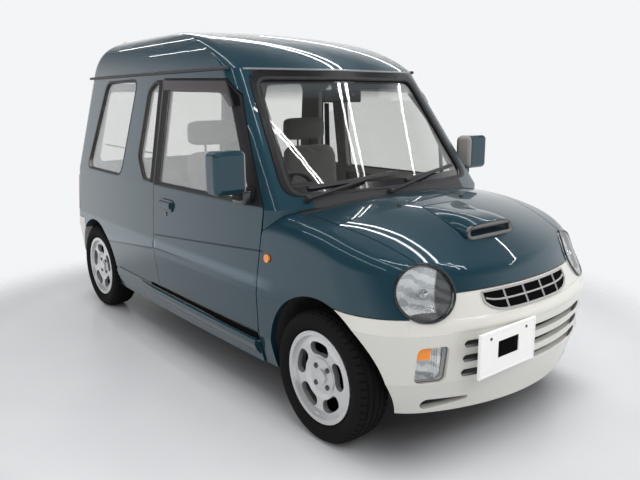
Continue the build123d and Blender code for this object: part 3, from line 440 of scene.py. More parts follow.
def quads(rows, cols, round_rows=False, round_cols=False):
    """Faces of a grid of points, closed round either way if asked."""
    i, j = np.meshgrid(
        np.arange(rows if round_rows else rows - 1), np.arange(cols if round_cols else cols - 1), indexing="ij"
    )
    k, m = (i + 1) % rows, (j + 1) % cols
    return columns(i * cols + j, k * cols + j, k * cols + m, i * cols + m).reshape(-1, 4)


def unit(vectors):
    """Vectors scaled to length one."""
    return vectors / np.maximum(np.linalg.norm(vectors, axis=-1, keepdims=True), 1e-12)


def loft(sections):
    """Skin over stacked sections of equal point counts, with both ends closed."""
    sections = np.asarray(sections, float)
    rows, cols = sections.shape[:2]
    faces = [quads(rows, cols, False, True)]
    faces += [np.arange(cols)[None, ::-1], (np.arange(cols) + (rows - 1) * cols)[None]]
    return sections.reshape(-1, 3), faces


def sweep(path, profile, up, closed=False):
    """Profile (a, b) along a path: point + a side + b lift, with side = up x tangent, lift = tangent x side."""
    path = np.asarray(path, float)
    if closed:
        tangent = unit(np.roll(path, -1, 0) - np.roll(path, 1, 0))
    else:
        tangent = unit(np.gradient(path, axis=0))
    side = unit(np.cross(np.broadcast_to(np.asarray(up, float), path.shape), tangent))
    lift = np.cross(tangent, side)
    a, b = np.asarray(profile, float).T
    points = path[:, None] + a[:, None] * side[:, None] + b[:, None] * lift[:, None]
    if closed:
        return points.reshape(-1, 3), [quads(len(path), len(a), True, True)]
    return loft(points)


def turned(profile, centre, axis, count=48):
    """Closed profile of (radius, height) turned about an axis through a centre."""
    axis = unit(np.asarray(axis, float))
    across = unit(np.cross(axis, (0.3, 0.2, 1.0) if abs(axis[2]) < 0.9 else (1.0, 0.0, 0.2)))
    other = np.cross(axis, across)
    angle = np.linspace(0.0, 2 * np.pi, count, endpoint=False)[:, None, None]
    radius, height = np.asarray(profile, float).T[:, None, :, None]
    ring = np.cos(angle) * across + np.sin(angle) * other
    points = np.asarray(centre, float) + radius * ring + height * axis
    return points.reshape(-1, 3), [quads(count, points.shape[1], True, True)]


def oval(a, b, count=12):
    """Ellipse profile."""
    t = np.linspace(0.0, 2 * np.pi, count, endpoint=False)
    return columns(a * np.cos(t), b * np.sin(t))


def rounded(corners, radius, steps=5):
    """Closed outline through corners, each replaced by an arc-like quadratic curve."""
    p = np.asarray(corners, float)
    before, after = np.roll(p, 1, 0), np.roll(p, -1, 0)
    shorter = np.minimum(np.linalg.norm(before - p, axis=1), np.linalg.norm(after - p, axis=1))
    reach = np.minimum(radius, 0.45 * shorter)
    start = p + unit(before - p) * reach[:, None]
    end = p + unit(after - p) * reach[:, None]
    t = np.linspace(0.0, 1.0, steps)[None, :, None]
    curve = (1 - t) ** 2 * start[:, None] + 2 * t * (1 - t) * p[:, None] + t**2 * end[:, None]
    return curve.reshape(-1, p.shape[1])


def spread(path, pitch):
    """Closed path resampled so that no step is longer than a pitch."""
    path = np.asarray(path, float)
    path = np.concatenate([path, path[:1]])
    run = np.concatenate([[0.0], np.cumsum(np.linalg.norm(np.diff(path, axis=0), axis=1))])
    at = np.linspace(0.0, run[-1], max(int(run[-1] / pitch), 4), endpoint=False)
    return columns(*[np.interp(at, run, line) for line in path.T])


def upright(corners, radius, pitch, x):
    """Rounded outline given in y and z, resampled and placed at one x."""
    return np.insert(spread(rounded(corners, radius), pitch), 0, x, 1)


def slab(low, high, radius=0.004, axis=2):
    """Block between two corners with rounded edges: rounded rectangles stacked along an axis."""
    low, high = np.minimum(low, high), np.maximum(low, high)
    u, v = [i for i in range(3) if i != axis]
    t = np.linspace(0.0, np.pi / 2, 4)
    inset = radius * (1 - np.sin(t))
    level = radius * (1 - np.cos(t))
    inset = np.concatenate([inset, inset[::-1]])
    level = np.concatenate([low[axis] + level, high[axis] - level[::-1]])
    sections = []
    for d, h in zip(inset, level):
        corners = rect((low[u] + d, low[v] + d), (high[u] - d, high[v] - d))
        flat = rounded(corners, radius * 1.2)
        ring = np.empty((len(flat), 3))
        ring[:, u], ring[:, v], ring[:, axis] = flat[:, 0], flat[:, 1], h
        sections.append(ring)
    return loft(sections)


def cushion(low, high, power=0.32, rows=22, cols=44):
    """Superellipsoid: signed powers of cosine and sine in two angles, between two corners."""
    low, high = np.asarray(low, float), np.asarray(high, float)
    u = np.linspace(-np.pi / 2, np.pi / 2, rows)[:, None]
    v = np.linspace(-np.pi, np.pi, cols, endpoint=False)[None]

    def bent(value):
        return np.sign(value) * np.abs(value) ** power

    around = bent(np.cos(u))
    shape = columns(around * bent(np.cos(v)), around * bent(np.sin(v)), bent(np.sin(u)))
    return ((low + high) / 2 + shape * (high - low) / 2).reshape(-1, 3), [quads(rows, cols, False, True)]


def mirrored(shell):
    """The same shell at the other side of the car."""
    points, faces = shell
    return points * np.array([1.0, -1.0, 1.0]), faces


def pair(*shells):
    """Shells with their mirror images."""
    return list(shells) + [mirrored(shell) for shell in shells]


def piece(name, shells, finish, body="body", angle=35.0):
    """One object from shells of points and faces, merged, faced outwards and shaded smooth up to an angle."""
    points, faces, start = [], [], 0
    for shell_points, shell_faces in shells:
        points.append(np.asarray(shell_points, float))
        for group in shell_faces:
            faces += (group + start).tolist()
        start += len(shell_points)
    mesh = bpy.data.meshes.new(name)
    mesh.from_pydata(np.concatenate(points).tolist(), [], faces)
    work = bmesh.new()
    work.from_mesh(mesh)
    bmesh.ops.remove_doubles(work, verts=work.verts, dist=1e-6)
    bmesh.ops.recalc_face_normals(work, faces=work.faces)
    work.to_mesh(mesh)
    work.free()
    mesh.shade_smooth()
    mesh.set_sharp_from_angle(angle=math.radians(angle))
    mesh.materials.append(finish)
    made = bpy.data.objects.new(name, mesh)
    bpy.context.scene.collection.objects.link(made)
    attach(made, body)
    return made


def per_side(name, shells, finish, body):
    """Shells of the left side and their mirror images as two pieces; {} in name and body stands for the side."""
    for side, sign in SIDES:
        shown = shells if sign > 0 else [mirrored(shell) for shell in shells]
        piece(name.format(side), shown, finish, body.format(side))


def sheet(points, name, finish, wall, body="body"):
    """Curved sheet over a grid of points, given a wall by Solidify."""
    points = np.asarray(points, float)
    rows, cols = points.shape[:2]
    made = piece(name, [(points.reshape(-1, 3), [quads(rows, cols)])], finish, body, 50.0)
    thick = made.modifiers.new("wall", "SOLIDIFY")
    thick.thickness = wall
    thick.offset = 0.0
    return made


def side_sheets(points, name, finish, wall, body="body"):
    """A sheet of the left side and its mirror image; {} in name and body stands for the side."""
    for side, sign in SIDES:
        sheet(points * np.array([1.0, sign, 1.0]), name.format(side), finish, wall, body.format(side))


def bowed(x, half):
    """Half width of a bowed side: an arc of 40 m radius along the car."""
    return half - 40.0 + np.sqrt(1600.0 - (x + 0.1) ** 2)


def side_skin(x, z):
    """Outer skin of the car's left side: straight between the heights of the body's outlines."""
    return bowed(x, np.interp(z, BODY_Z, BODY_HALF))


def arc_depth(y, half, bow):
    """How far an arc has fallen back at y, when it falls by a bow at both ends of its half width."""
    radius = (half**2 + bow**2) / (2 * bow)
    return radius - np.sqrt(radius**2 - y**2)


def screen_skin(y, z):
    """Outer skin of the windscreen: at each height an arc through the middle and both corners."""
    t = (z - BELT_Z) / (GUTTER_Z - BELT_Z)
    front = FRONT_AXLE_X - 0.178 - 0.44 * t
    corner = FRONT_AXLE_X - 0.302 - 0.401 * t
    return front - arc_depth(y, bowed(corner, 0.6795 - 0.0875 * t), front - corner)


def tail_skin(y, z):
    """Outer skin of the tail: arcs as on the windscreen, from bumper to gutter."""
    middle = np.interp(z, BODY_Z, [-1.5925, -1.6315, -1.6475, -1.6075, -1.4155])
    corner = np.interp(z, BODY_Z, [-1.5295, -1.5695, -1.5855, -1.5395, -1.3625])
    return middle + arc_depth(y, side_skin(corner, z), corner - middle)


def nose_skin(y, z):
    """Outer skin of the nose between the corners: an arc at each height up to the belt."""
    nose = 1.6355 - np.interp(z, BODY_Z[:4], [0.05, 0.018, 0.0, 0.19])
    corner = 1.6355 - np.interp(z, BODY_Z[:4], [0.265, 0.225, 0.208, 0.368])
    return nose - arc_depth(y, side_skin(corner, z), nose - corner)


def on_nose(y, z, off):
    """Points on the nose's skin, set off forwards."""
    return columns(nose_skin(y, z) + off, y, z)


def bonnet_skin(x, y):
    """Bonnet: an arc along the middle, turned about a long axis 3.5 m below for the crown."""
    p = np.array([(-0.225, 0.914), (0.292, 0.792), (0.492, 0.672)]) + np.array([FRONT_AXLE_X, 0.0])
    a = 2 * (p[1:] - p[0])
    b = (p[1:] ** 2).sum(1) - (p[0] ** 2).sum()
    centre = np.linalg.solve(a, b)
    radius = np.linalg.norm(p[0] - centre)
    middle = centre[1] + np.sqrt(radius**2 - (x - centre[0]) ** 2)
    return -2.58 + np.sqrt((middle + 2.58) ** 2 - y**2)


def back(points):
    """Side-view points given as distance behind the front axle and height, in millimetres."""
    p = np.asarray(points, float) / 1000.0
    return columns(FRONT_AXLE_X - p[:, 0], p[:, 1])


def on_side(outline, off, pitch=0.02):
    """Side-view outline laid on the left skin, with its outward directions."""
    x, z = spread(outline, pitch).T
    path = columns(x, side_skin(x, z) + off, z)
    slope = (side_skin(x, z + 0.004) - side_skin(x, z - 0.004)) / 0.008
    return path, unit(columns(0.0, 1.0, -slope))


def node_points(node):
    """Points of a CAD node at rest."""
    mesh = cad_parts[node].data
    points = np.empty(len(mesh.vertices) * 3, np.float32)
    mesh.vertices.foreach_get("co", points)
    return points.reshape(-1, 3).astype(float)


# Seals round the windows, on the skin
DOOR_WINDOW = back([(436, 905), (664, 1322), (742, 1380), (1288, 1394), (1318, 905)])
QUARTER_WINDOW = back([(1815, 902), (1668, 1437), (2135, 1434), (2395, 906)])
NARROW_WINDOW = back([(1404, 908), (1382, 1418), (1440, 1420), (1515, 1375), (1588, 1025), (1500, 908)])
for name, outline, radius in (("quarter_seals", QUARTER_WINDOW, 0.055), ("narrow_pane_seals", NARROW_WINDOW, 0.02)):
    path, out = on_side(rounded(outline, radius), -0.003)
    piece(name, pair(sweep(path, oval(0.009, 0.0045), out, True)), SEAL_RUBBER)
path, out = on_side(rounded(DOOR_WINDOW, 0.024), -0.004)
per_side("door_window_seal_{}", [sweep(path, oval(0.007, 0.004), out, True)], SEAL_RUBBER, "door_{}")

# Windscreen and tail window seals
SCREEN_OUT, TAIL_OUT = (0.79, 0.0, 0.61), (-0.95, 0.0, 0.31)
flat = spread(rounded(trapezoid(0.556, 0.937, 0.492, 1.424), 0.06), 0.02)
path = columns(screen_skin(*flat.T), *flat.T) - np.array([0.002, 0, 0.002])
piece("screen_seal", [sweep(path, oval(0.010, 0.005), SCREEN_OUT, True)], SEAL_RUBBER)
flat = spread(rounded(trapezoid(0.5, 0.905, 0.438, 1.392), 0.05), 0.02)
path = columns(tail_skin(*flat.T) + 0.003, *flat.T)
piece("tail_window_seal", [sweep(path, oval(0.009, 0.005), TAIL_OUT, True)], SEAL_RUBBER, "tailgate")

# Black surround of the windscreen, on the same skin, and the strip along its top
rings = []
for corners, radius in (((0.550, 0.943, 0.487, 1.418), 0.06), ((0.592, 0.931, 0.520, 1.458), 0.07)):
    ring = rounded(trapezoid(*corners), radius, 12)
    ring = np.concatenate([ring, ring[:1]])
    steps = np.linspace(0.0, len(ring) - 1.0, 8 * (len(ring) - 1) + 1)
    rings.append(columns(*[np.interp(steps, np.arange(len(ring)), line) for line in ring.T]))
inner, outer = rings
rows = np.stack([inner + (outer - inner) * t for t in np.linspace(0.0, 1.0, 7)])
y, z = rows[..., 0], rows[..., 1]
sheet(columns(screen_skin(y, z) + 0.0012, y, z), "screen_surround", SCREEN_BLACK, 0.001)
y = np.linspace(-0.53, 0.53, 40)
path = columns(screen_skin(y, 1.462) + 0.001, y, 1.462)
piece("screen_top_strip", [sweep(path, oval(0.006, 0.004, 10), SCREEN_OUT)], STRIP_GREY)

# Drip gutters along the roof's edge, from the screen's corner to the tail
x = np.linspace(FRONT_AXLE_X - 0.712, -1.338, 60)
path = columns(x, bowed(x, 0.592) + 0.002, GUTTER_Z)
piece("drip_gutters", pair(sweep(path, oval(0.009, 0.008), UP)), BLACK_TRIM)


# Wheels: treaded tyres, lug nuts, and a black ring of painted shade behind each rim's openings
BEAD_R = 0.1785
TYRE_HALF = np.array([
    (0.0, 0.2655), (0.02, 0.2655), (0.04, 0.2645), (0.056, 0.2615), (0.066, 0.2565), (0.072, 0.249),
    (0.0765, 0.236), (0.0772, 0.226), (0.0755, 0.212), (0.070, 0.200), (0.061, 0.192), (0.059, BEAD_R),
])
GROOVE_DEPTH, TREAD_PITCH, TREAD_COUNT = 0.0065, 0.031, 54
NUT = [(0.0, -0.01), (0.0115, -0.01), (0.0115, 0.004), (0.0092, 0.0065), (0.0, 0.007)]
SHADE_RING = [(0.066, -0.003), (0.152, -0.003), (0.152, 0.0), (0.066, 0.0)]


def tyre(x, side):
    """Tyre: section curve turned about the axle; grooves lower the tread by a mask of angle and width."""
    run = np.concatenate([[0.0], np.cumsum(np.linalg.norm(np.diff(TYRE_HALF, axis=0), axis=1))])
    s = np.concatenate([np.linspace(0.0, run[4], 23), np.linspace(run[4], run[-1], 14)[1:]])
    w, r = [np.interp(s, run, line) for line in TYRE_HALF.T]
    w = np.concatenate([-w[::-1], w[1:]])
    r = np.concatenate([r[::-1], r[1:]])
    wide = np.abs(w)[None]
    angle = np.linspace(0.0, 2 * np.pi, 432, endpoint=False)[:, None]

    def groove(distance, half_width):
        return np.clip((half_width - np.abs(distance)) / 0.0015 + 0.5, 0.0, 1.0)

    rings = np.maximum.reduce([groove(w - c, 0.0032) for c in (-0.041, -0.014, 0.014, 0.041)])[None]
    turn = (angle * TREAD_COUNT / (2 * np.pi) + 5.0 * wide) % 1.0
    blocks = groove((turn - 0.5) * TREAD_PITCH, 0.0026) * ((wide > 0.043) & (wide < 0.069))
    sipes = groove((turn - 0.2) * TREAD_PITCH, 0.0012) * (wide < 0.04) * 0.6
    depth = GROOVE_DEPTH * np.maximum.reduce([rings + 0 * angle, blocks, sipes]) * (wide < 0.0695)
    radius = r[None] - depth
    points = columns(x + radius * np.sin(angle), WHEEL_Y * side + w[None], AXLE_Z + radius * np.cos(angle))
    inner = columns(x + BEAD_R * np.sin(angle), WHEEL_Y * side, AXLE_Z + BEAD_R * np.cos(angle))
    points = np.concatenate([points, inner], 1)
    return points.reshape(-1, 3), [quads(points.shape[0], points.shape[1], True, True)]


for wheel, x, side in WHEELS:
    body, out = f"wheel_{wheel}", (0, side, 0)
    made = piece(f"treaded_tyre_{wheel}", [tyre(x, side)], RUBBER, body, 28.0)
    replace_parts(made, f"tyre_{wheel}")
    nuts = []
    for k in range(4):
        a = math.radians(45 + 90 * k)
        at = np.array([x + 0.05 * math.cos(a), side * (WHEEL_Y + 0.0455), AXLE_Z + 0.05 * math.sin(a)])
        nuts.append(turned(NUT, at, out, 6))
    piece(f"lug_nuts_{wheel}", nuts, BLACK_GLOSS, body, 20.0)
    shade = turned(SHADE_RING, (x, side * (WHEEL_Y + 0.008), AXLE_Z), out, 64)
    piece(f"wheel_shade_{wheel}", [shade], SHADE_BLACK, body)


# Seats as padded cloth: plain crowned pads, pressed out by a short cloth run
PAD_CELL, PAD_PRESSURE, PAD_STEPS = 0.014, 4.0, 15


def puffed(name, shell, cap=0.022):
    """Pad remeshed to even cells, blown up a little by cloth pressure, with each point's move capped."""
    made = piece(name, [shell], SEAT_CLOTH, "body", 80.0)
    bpy.context.view_layer.objects.active = made
    before = made.modifiers.new("even", "REMESH")
    before.mode = "VOXEL"
    before.voxel_size = PAD_CELL
    flat = bpy.data.meshes.new_from_object(made.evaluated_get(bpy.context.evaluated_depsgraph_get()))
    made.modifiers.clear()
    made.data = flat
    rest = np.empty(len(flat.vertices) * 3, np.float32)
    flat.vertices.foreach_get("co", rest)
    press = made.modifiers.new("press", "CLOTH")
    press.settings.use_pressure = True
    press.settings.uniform_pressure_force = PAD_PRESSURE
    press.settings.effector_weights.gravity = 0.0
    press.settings.quality = 4
    press.collision_settings.use_collision = False
    for step in range(1, PAD_STEPS + 1):
        bpy.context.scene.frame_set(step)
    shape = made.evaluated_get(bpy.context.evaluated_depsgraph_get()).data
    moved = np.empty_like(rest)
    shape.vertices.foreach_get("co", moved)
    made.modifiers.clear()
    bpy.context.scene.frame_set(1)
    move = (moved - rest).reshape(-1, 3)
    reach = np.linalg.norm(move, axis=1, keepdims=True)
    move *= np.minimum(1.0, cap / np.maximum(reach, 1e-9))
    flat.vertices.foreach_set("co", (rest.reshape(-1, 3) + move).ravel().astype(np.float32))
    flat.materials.clear()
    flat.materials.append(SEAT_CLOTH)
    flat.shade_smooth()
    made.modifiers.new("smooth", "SUBSURF").levels = 1
    made.modifiers["smooth"].render_levels = 1
    return made


def leaned(shell, foot, lean):
    """Shell sheared back: x falls by lean for each metre above the foot."""
    points, faces = shell
    points = points.copy()
    points[:, 0] -= (points[:, 2] - foot) * lean
    return points, faces


SEAT_Y = 0.318
for side, sign in SIDES:
    y = SEAT_Y * sign
    puffed(f"seat_cushion_{side}", cushion((-0.155, y - 0.2, 0.41), (0.30, y + 0.2, 0.515)))
    backrest = cushion((-0.165, y - 0.2, 0.47), (-0.075, y + 0.2, 1.075), 0.3)
    puffed(f"seat_back_{side}", leaned(backrest, 0.45, 0.145))
    puffed(f"head_rest_{side}", cushion((-0.284, y - 0.15, 1.086), (-0.222, y + 0.15, 1.216), 0.34), 0.012)
posts = [sweep([(-0.250, y, 1.02), (-0.256, y, 1.13)], oval(0.006, 0.006), FORWARD) for y in (0.27, 0.366)]
piece("seat_frames", pair(slab((-0.11, 0.15, 0.242), (0.22, 0.486, 0.408), 0.012), *posts), DASH_PLASTIC)
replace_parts(bpy.data.objects["seat_cushion_left"], "front_seats")
bench = [
    puffed("bench_cushion", cushion((-0.822, -0.455, 0.38), (-0.415, 0.455, 0.485))),
    puffed("bench_back", leaned(cushion((-0.825, -0.455, 0.43), (-0.735, 0.455, 0.915), 0.34), 0.4, 0.143)),
]
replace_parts(bench[0], "rear_seat")
piece("bench_frame", [slab((-0.80, -0.43, 0.242), (-0.48, 0.43, 0.372), 0.015)], CARPET)

# Headlamps: black ring on the lens's edge, fluted reflector and bulb behind it
LAMP_CENTRE = np.array([FRONT_AXLE_X + 0.398, 0.486, 0.667])
LAMP_OUT, LAMP_UP = math.radians(27), math.radians(18)
LAMP_AXIS = np.array([math.cos(LAMP_OUT), math.sin(LAMP_OUT), math.tan(LAMP_UP)]) * math.cos(LAMP_UP)
LAMP_ACROSS = np.array([-math.sin(LAMP_OUT), math.cos(LAMP_OUT), 0.0])
LAMP_RISE = np.cross(LAMP_AXIS, LAMP_ACROSS)
LENS_WIDE, LENS_TALL = 0.112, 0.103
BULB = [(0.0, 0.0), (0.011, 0.0), (0.011, 0.018), (0.016, 0.022), (0.016, 0.03), (0.007, 0.05), (0.0, 0.053)]


def lens_rim(turn):
    """Height of the lens's front edge along the lamp's axis at each angle: the foremost edge points near it."""
    rel = node_points("headlamps")
    rel = rel[rel[:, 1] > 0] - LAMP_CENTRE
    a, b, h = rel @ LAMP_ACROSS / LENS_WIDE, rel @ LAMP_RISE / LENS_TALL, rel @ LAMP_AXIS
    edge = a**2 + b**2 > 0.985
    apart = np.abs((np.arctan2(b[edge], a[edge])[None] - turn[:, None] + np.pi) % (2 * np.pi) - np.pi)
    near = np.where(apart < 0.09, h[edge][None], -1.0).max(1)
    known = near > -0.9
    return np.interp(turn, turn[known], near[known], period=2 * np.pi)


turn = np.linspace(0.0, 2 * np.pi, 96, endpoint=False)
rim_height = lens_rim(turn)
oval_path = LENS_WIDE * np.cos(turn)[:, None] * LAMP_ACROSS + LENS_TALL * np.sin(turn)[:, None] * LAMP_RISE
rim_path = LAMP_CENTRE + oval_path + (rim_height[:, None] - 0.001) * LAMP_AXIS
piece("headlamp_rings", pair(sweep(rim_path, oval(0.0045, 0.004), LAMP_AXIS, True)), BLACK_GLOSS)


def lamp_mirror(name):
    """Bright reflector with upright flutes, with painted shade towards the car's middle and below, and wavy patches
    of painted reflection.
    """
    material, start, at, x, y, z = blank(name)
    out = (y.math("ABSOLUTE") - LAMP_CENTRE[1]) * math.cos(LAMP_OUT) - (x - LAMP_CENTRE[0]) * math.sin(LAMP_OUT)
    rise = z - LAMP_CENTRE[2]
    flutes = (out * 900.0).math("SINE")
    # Painted shade towards the car's middle and below
    inner = (out * -0.98 - rise * 0.16).ease(0.048, 0.056)
    dark = inner.math("MAXIMUM", (rise * -1.0).ease(0.082, 0.086)) * (rise > -0.12)
    # Wavy patches of painted reflection
    waves = (z * 130.0 + y * 55.0 + noise(at, 16.0, 2.0) * 7.0).math("SINE")
    painted_reflection = (waves * 0.5 + 0.5).ease(0.1, 0.8)
    bright = colour_mix(painted_reflection, (0.66, 0.67, 0.69), (0.98, 0.98, 0.99))
    sockets = {
        "Base Color": colour_mix(dark, bright, colour_mix(painted_reflection, (0.09, 0.09, 0.092), (0.17, 0.17, 0.172))),
        "Roughness": 0.26 + dark * 0.2 + painted_reflection * 0.1,
        "Metallic": 0.72 - dark * 0.4,
        "Normal": bump(flutes, 0.35, 0.002),
    }
    return close(material, skin(start, sockets))


LAMP_MIRROR = lamp_mirror("lamp_reflector")
share = np.linspace(0.0, 1.0, 16)[:, None, None]
floor_height = -0.085 * (1 - share**2) + share**2 * (rim_height[None, :, None] - 0.021)
dish = LAMP_CENTRE + share * oval_path[None] * 0.955 + floor_height * LAMP_AXIS
dish = np.concatenate([dish, dish[:, :1]], 1)
side_sheets(dish, "headlamp_reflector_{}", LAMP_MIRROR, 0.0015)
bulb = turned(BULB, LAMP_CENTRE - 0.082 * LAMP_AXIS, LAMP_AXIS, 24)
piece("headlamp_bulbs", pair(bulb), CHROME, "body")

# Fog lamp bowls behind their lenses, from a bowed plane fitted to the lens
FOG_LOW, FOG_HIGH, FOG_ROUND = np.array([0.428, 0.336]), np.array([0.536, 0.474]), 0.021
fog = node_points("fog_lamps")
fog = fog[fog[:, 1] > 0]
plane = np.linalg.lstsq(columns(1.0, fog[:, 1], fog[:, 2], fog[:, 1] ** 2), fog[:, 0], rcond=None)[0]


def on_fog_lens(flat, off):
    """Points given in y and z, laid on the fitted lens and set off forwards."""
    y, z = flat.T
    return columns(plane[0] + plane[1] * y + plane[2] * z + plane[3] * y**2 + off, y, z)


rings = []
for inset, depth in ((0.002, 0.012), (0.006, 0.03), (0.018, 0.046), (0.035, 0.052)):
    rings.append(on_fog_lens(rounded(rect(FOG_LOW + inset, FOG_HIGH - inset), FOG_ROUND), -depth))
rings.append(np.repeat(rings[-1].mean(0)[None], len(rings[0]), 0))
rings = np.concatenate([rings, np.asarray(rings)[:, :1]], 1)
side_sheets(rings, "fog_lamp_bowl_{}", LAMP_MIRROR, 0.0015)
path = on_fog_lens(spread(rounded(rect(FOG_LOW, FOG_HIGH), FOG_ROUND), 0.008), 0.007)
piece("fog_lamp_rims", pair(sweep(path, oval(0.003, 0.004, 8), (0.86, 0.5, 0.0), True)), GREY_PLASTIC)

# Dark net behind the mouth; the mouth's ends are panels on the skin with painted shade and painted slats
MOUTH_PITCH = 0.057
y, z = grid(-0.31, 0.31, 24, 0.335, 0.492, 6)
sheet(on_nose(y, z, -0.036), "mouth_net", BLACK_TRIM, 0.003)


def mouth_shade(name):
    """Painted depth of the mouth's ends: painted shade black at the top of each opening, and a painted grey slat top
    at its foot.
    """
    material, start, at, x, y, z = blank(name)
    level = ((z - 0.344) * (1.0 / MOUTH_PITCH)).math("FRACT")
    grain = noise(at, 400.0, 3.0)
    slat = (1.0 - level.ease(0.12, 0.26)) * y.math("ABSOLUTE").ease(0.30, 0.37)
    sockets = {
        "Base Color": colour_mix(slat, (0.004, 0.004, 0.004), (0.20, 0.195, 0.18)),
        "Roughness": 0.7 + grain * 0.2,
        "Normal": bump(grain, 0.1, 0.0003),
    }
    return close(material, skin(start, sockets))


MOUTH_SHADE = mouth_shade("mouth_shade")
t = np.linspace(0.0, 1.0, 16)[:, None]
v = np.linspace(-1.0, 1.0, 9)[None]
tall = 0.0138 * np.clip((1 - t) / 0.13, 0.0, 1.0) ** 0.5
y = 0.292 + 0.082 * t + 0 * v
for k in range(3):
    z = 0.358 + MOUTH_PITCH * k + tall * v
    side_sheets(on_nose(y, z, 0.001), "mouth_end_{}_" + str(k + 1), MOUTH_SHADE, 0.001)

# Upper grille: a black sheet of painted shade on the skin behind the bars, silver surround and bars; its lower edge
# sweeps up at both ends
GRILLE_HALF, GRILLE_TOP = 0.262, 0.639
GRILLE_BAR = oval(0.0044, 0.0038, 8)


def grille_foot(y):
    """Lower edge of the grille: level in the middle, up at the ends with the eighth power."""
    return 0.571 + 0.034 * (np.abs(y) / GRILLE_HALF) ** 8


y, v = grid(-GRILLE_HALF, GRILLE_HALF, 60, 0.0, 1.0, 8)
z = grille_foot(y) + (GRILLE_TOP - grille_foot(y)) * v
sheet(on_nose(y, z, 0.0015), "grille_shade", SHADE_BLACK, 0.001)
line = np.linspace(-GRILLE_HALF, GRILLE_HALF, 60)
rim = spread(np.concatenate([columns(line, grille_foot(line)), columns(line[::-1], GRILLE_TOP)]), 0.008)
bars = [sweep(on_nose(*rim.T, 0.003), oval(0.0045, 0.004, 8), (1.0, 0.0, 0.3), True)]
line = np.linspace(-0.252, 0.252, 48)
bars.append(sweep(on_nose(line, (grille_foot(line) + GRILLE_TOP) / 2, 0.003), GRILLE_BAR, UP))
for y in (-0.160, -0.054, 0.054, 0.160):
    z = np.linspace(float(grille_foot(y)), GRILLE_TOP, 8)
    bars.append(sweep(on_nose(y, z, 0.003), GRILLE_BAR, LEFT))
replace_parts(piece("grille_bars", bars, GRILLE_SILVER, "body"), "upper_grille")

# Bumper bead: a low bulge round the nose, above the widest line, that fades out at the corners
y, v = grid(-0.56, 0.56, 90, 0.0, 1.0, 14)
fade = np.clip((0.555 - np.abs(y)) / 0.24, 0.0, 1.0)
bead = 0.0105 * np.sin(np.pi * v) ** 0.75 * fade**2 * (3 - 2 * fade) - 0.0014 - 0.006 * (1 - fade) ** 3
sheet(on_nose(y, 0.519 + 0.046 * v, bead), "bumper_bead", PEARL_PAINT, 0.001)

# Blank front plate: raised edge, two bolts, and a black sheet of painted shade behind its window
PLATE_Y, PLATE_Z, PLATE_X = -0.222, 0.446, 1.6475
PLATE_BOLT = [(0.0, -0.001), (0.0065, -0.001), (0.0055, 0.002), (0.0, 0.0025)]
y, z = grid(PLATE_Y - 0.0605, PLATE_Y + 0.0605, 6, PLATE_Z - 0.0255, PLATE_Z + 0.0375, 4)
sheet(columns(PLATE_X - 0.004, y, z), "plate_window_shade", SHADE_BLACK, 0.002)
plate = rect((PLATE_Y - 0.16, PLATE_Z - 0.0775), (PLATE_Y + 0.16, PLATE_Z + 0.0775))
edge = upright(plate, 0.012, 0.012, PLATE_X - 0.0005)
piece("plate_edge", [sweep(edge, oval(0.0035, 0.0022, 8), FORWARD, True)], WHITE_PLATE, "body")
bolts = [turned(PLATE_BOLT, (PLATE_X, PLATE_Y + y, PLATE_Z + 0.057), FORWARD, 16) for y in (-0.105, 0.105)]
piece("plate_bolts", bolts, BLACK_GLOSS)

# Bonnet scoop: a smooth bulge whose height and width grow forwards, with a grey lip round its mouth
SCOOP_REAR, SCOOP_FRONT = FRONT_AXLE_X + 0.02, FRONT_AXLE_X + 0.294
MOUTH_HALF, MOUTH_RISE = 0.134, np.array([-0.24, 0.0, 0.97])
JET = [(0.0, 0.0), (0.011, 0.0), (0.010, 0.005), (0.006, 0.009), (0.0, 0.010)]
along = np.linspace(0.0, 1.0, 32)[:, None]
across = np.linspace(-1.0, 1.0, 57)[None]
x = SCOOP_REAR + along * (SCOOP_FRONT - SCOOP_REAR) - 0.010 * across**2 * along
y = across * (0.118 + 0.032 * along)
arch = (1 - np.abs(across) ** (2 + 2.5 * along)) ** (2.2 - 1.65 * along)
lift = 0.0005 + 0.003 * (1 - np.abs(across) ** 6) * (1 - (1 - along) ** 8)
z = bonnet_skin(x, y) + lift + 0.049 * along**2 * (3 - 2 * along) * arch
scoop = sheet(columns(x, y, z), "scoop_shell", BONNET_PAINT, 0.0015, "bonnet")
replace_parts(scoop, "bonnet_scoop")
mouth_at = np.array([SCOOP_FRONT + 0.003, 0.0, float(bonnet_skin(SCOOP_FRONT, 0.0)) + 0.0235])
flat = spread(rounded(trapezoid(MOUTH_HALF, -0.021, MOUTH_HALF, 0.021), 0.0195, 8), 0.006)
bow = -0.12 * flat[:, :1] ** 2 / MOUTH_HALF
mouth = mouth_at + flat[:, :1] * np.array(LEFT) + flat[:, 1:] * MOUTH_RISE + bow * np.array([1.0, 0.0, 0.35])
piece("scoop_lip", [sweep(mouth, oval(0.0085, 0.0075, 12), (1.0, 0.0, 0.25), True)], GREY_PLASTIC, "bonnet")
# Black dish of painted shade inside the scoop's mouth
depth = np.linspace(0.0, 1.0, 7)[:, None, None]
throat = mouth_at + depth * (mouth - mouth_at)[None] - (0.042 - 0.04 * depth**3) * np.array(FORWARD)
throat = np.concatenate([throat, throat[:, :1]], 1)
sheet(throat, "scoop_mouth_shade", BLACK_TRIM, 0.001, body="bonnet")
jets = []
for y in (0.2, -0.2):
    foot = np.array([FRONT_AXLE_X - 0.03, y, float(bonnet_skin(FRONT_AXLE_X - 0.03, y)) - 0.001])
    jets.append(turned(JET, foot, (0.1, 0.0, 1.0), 20))
piece("washer_jets", jets, BLACK_TRIM, "bonnet")

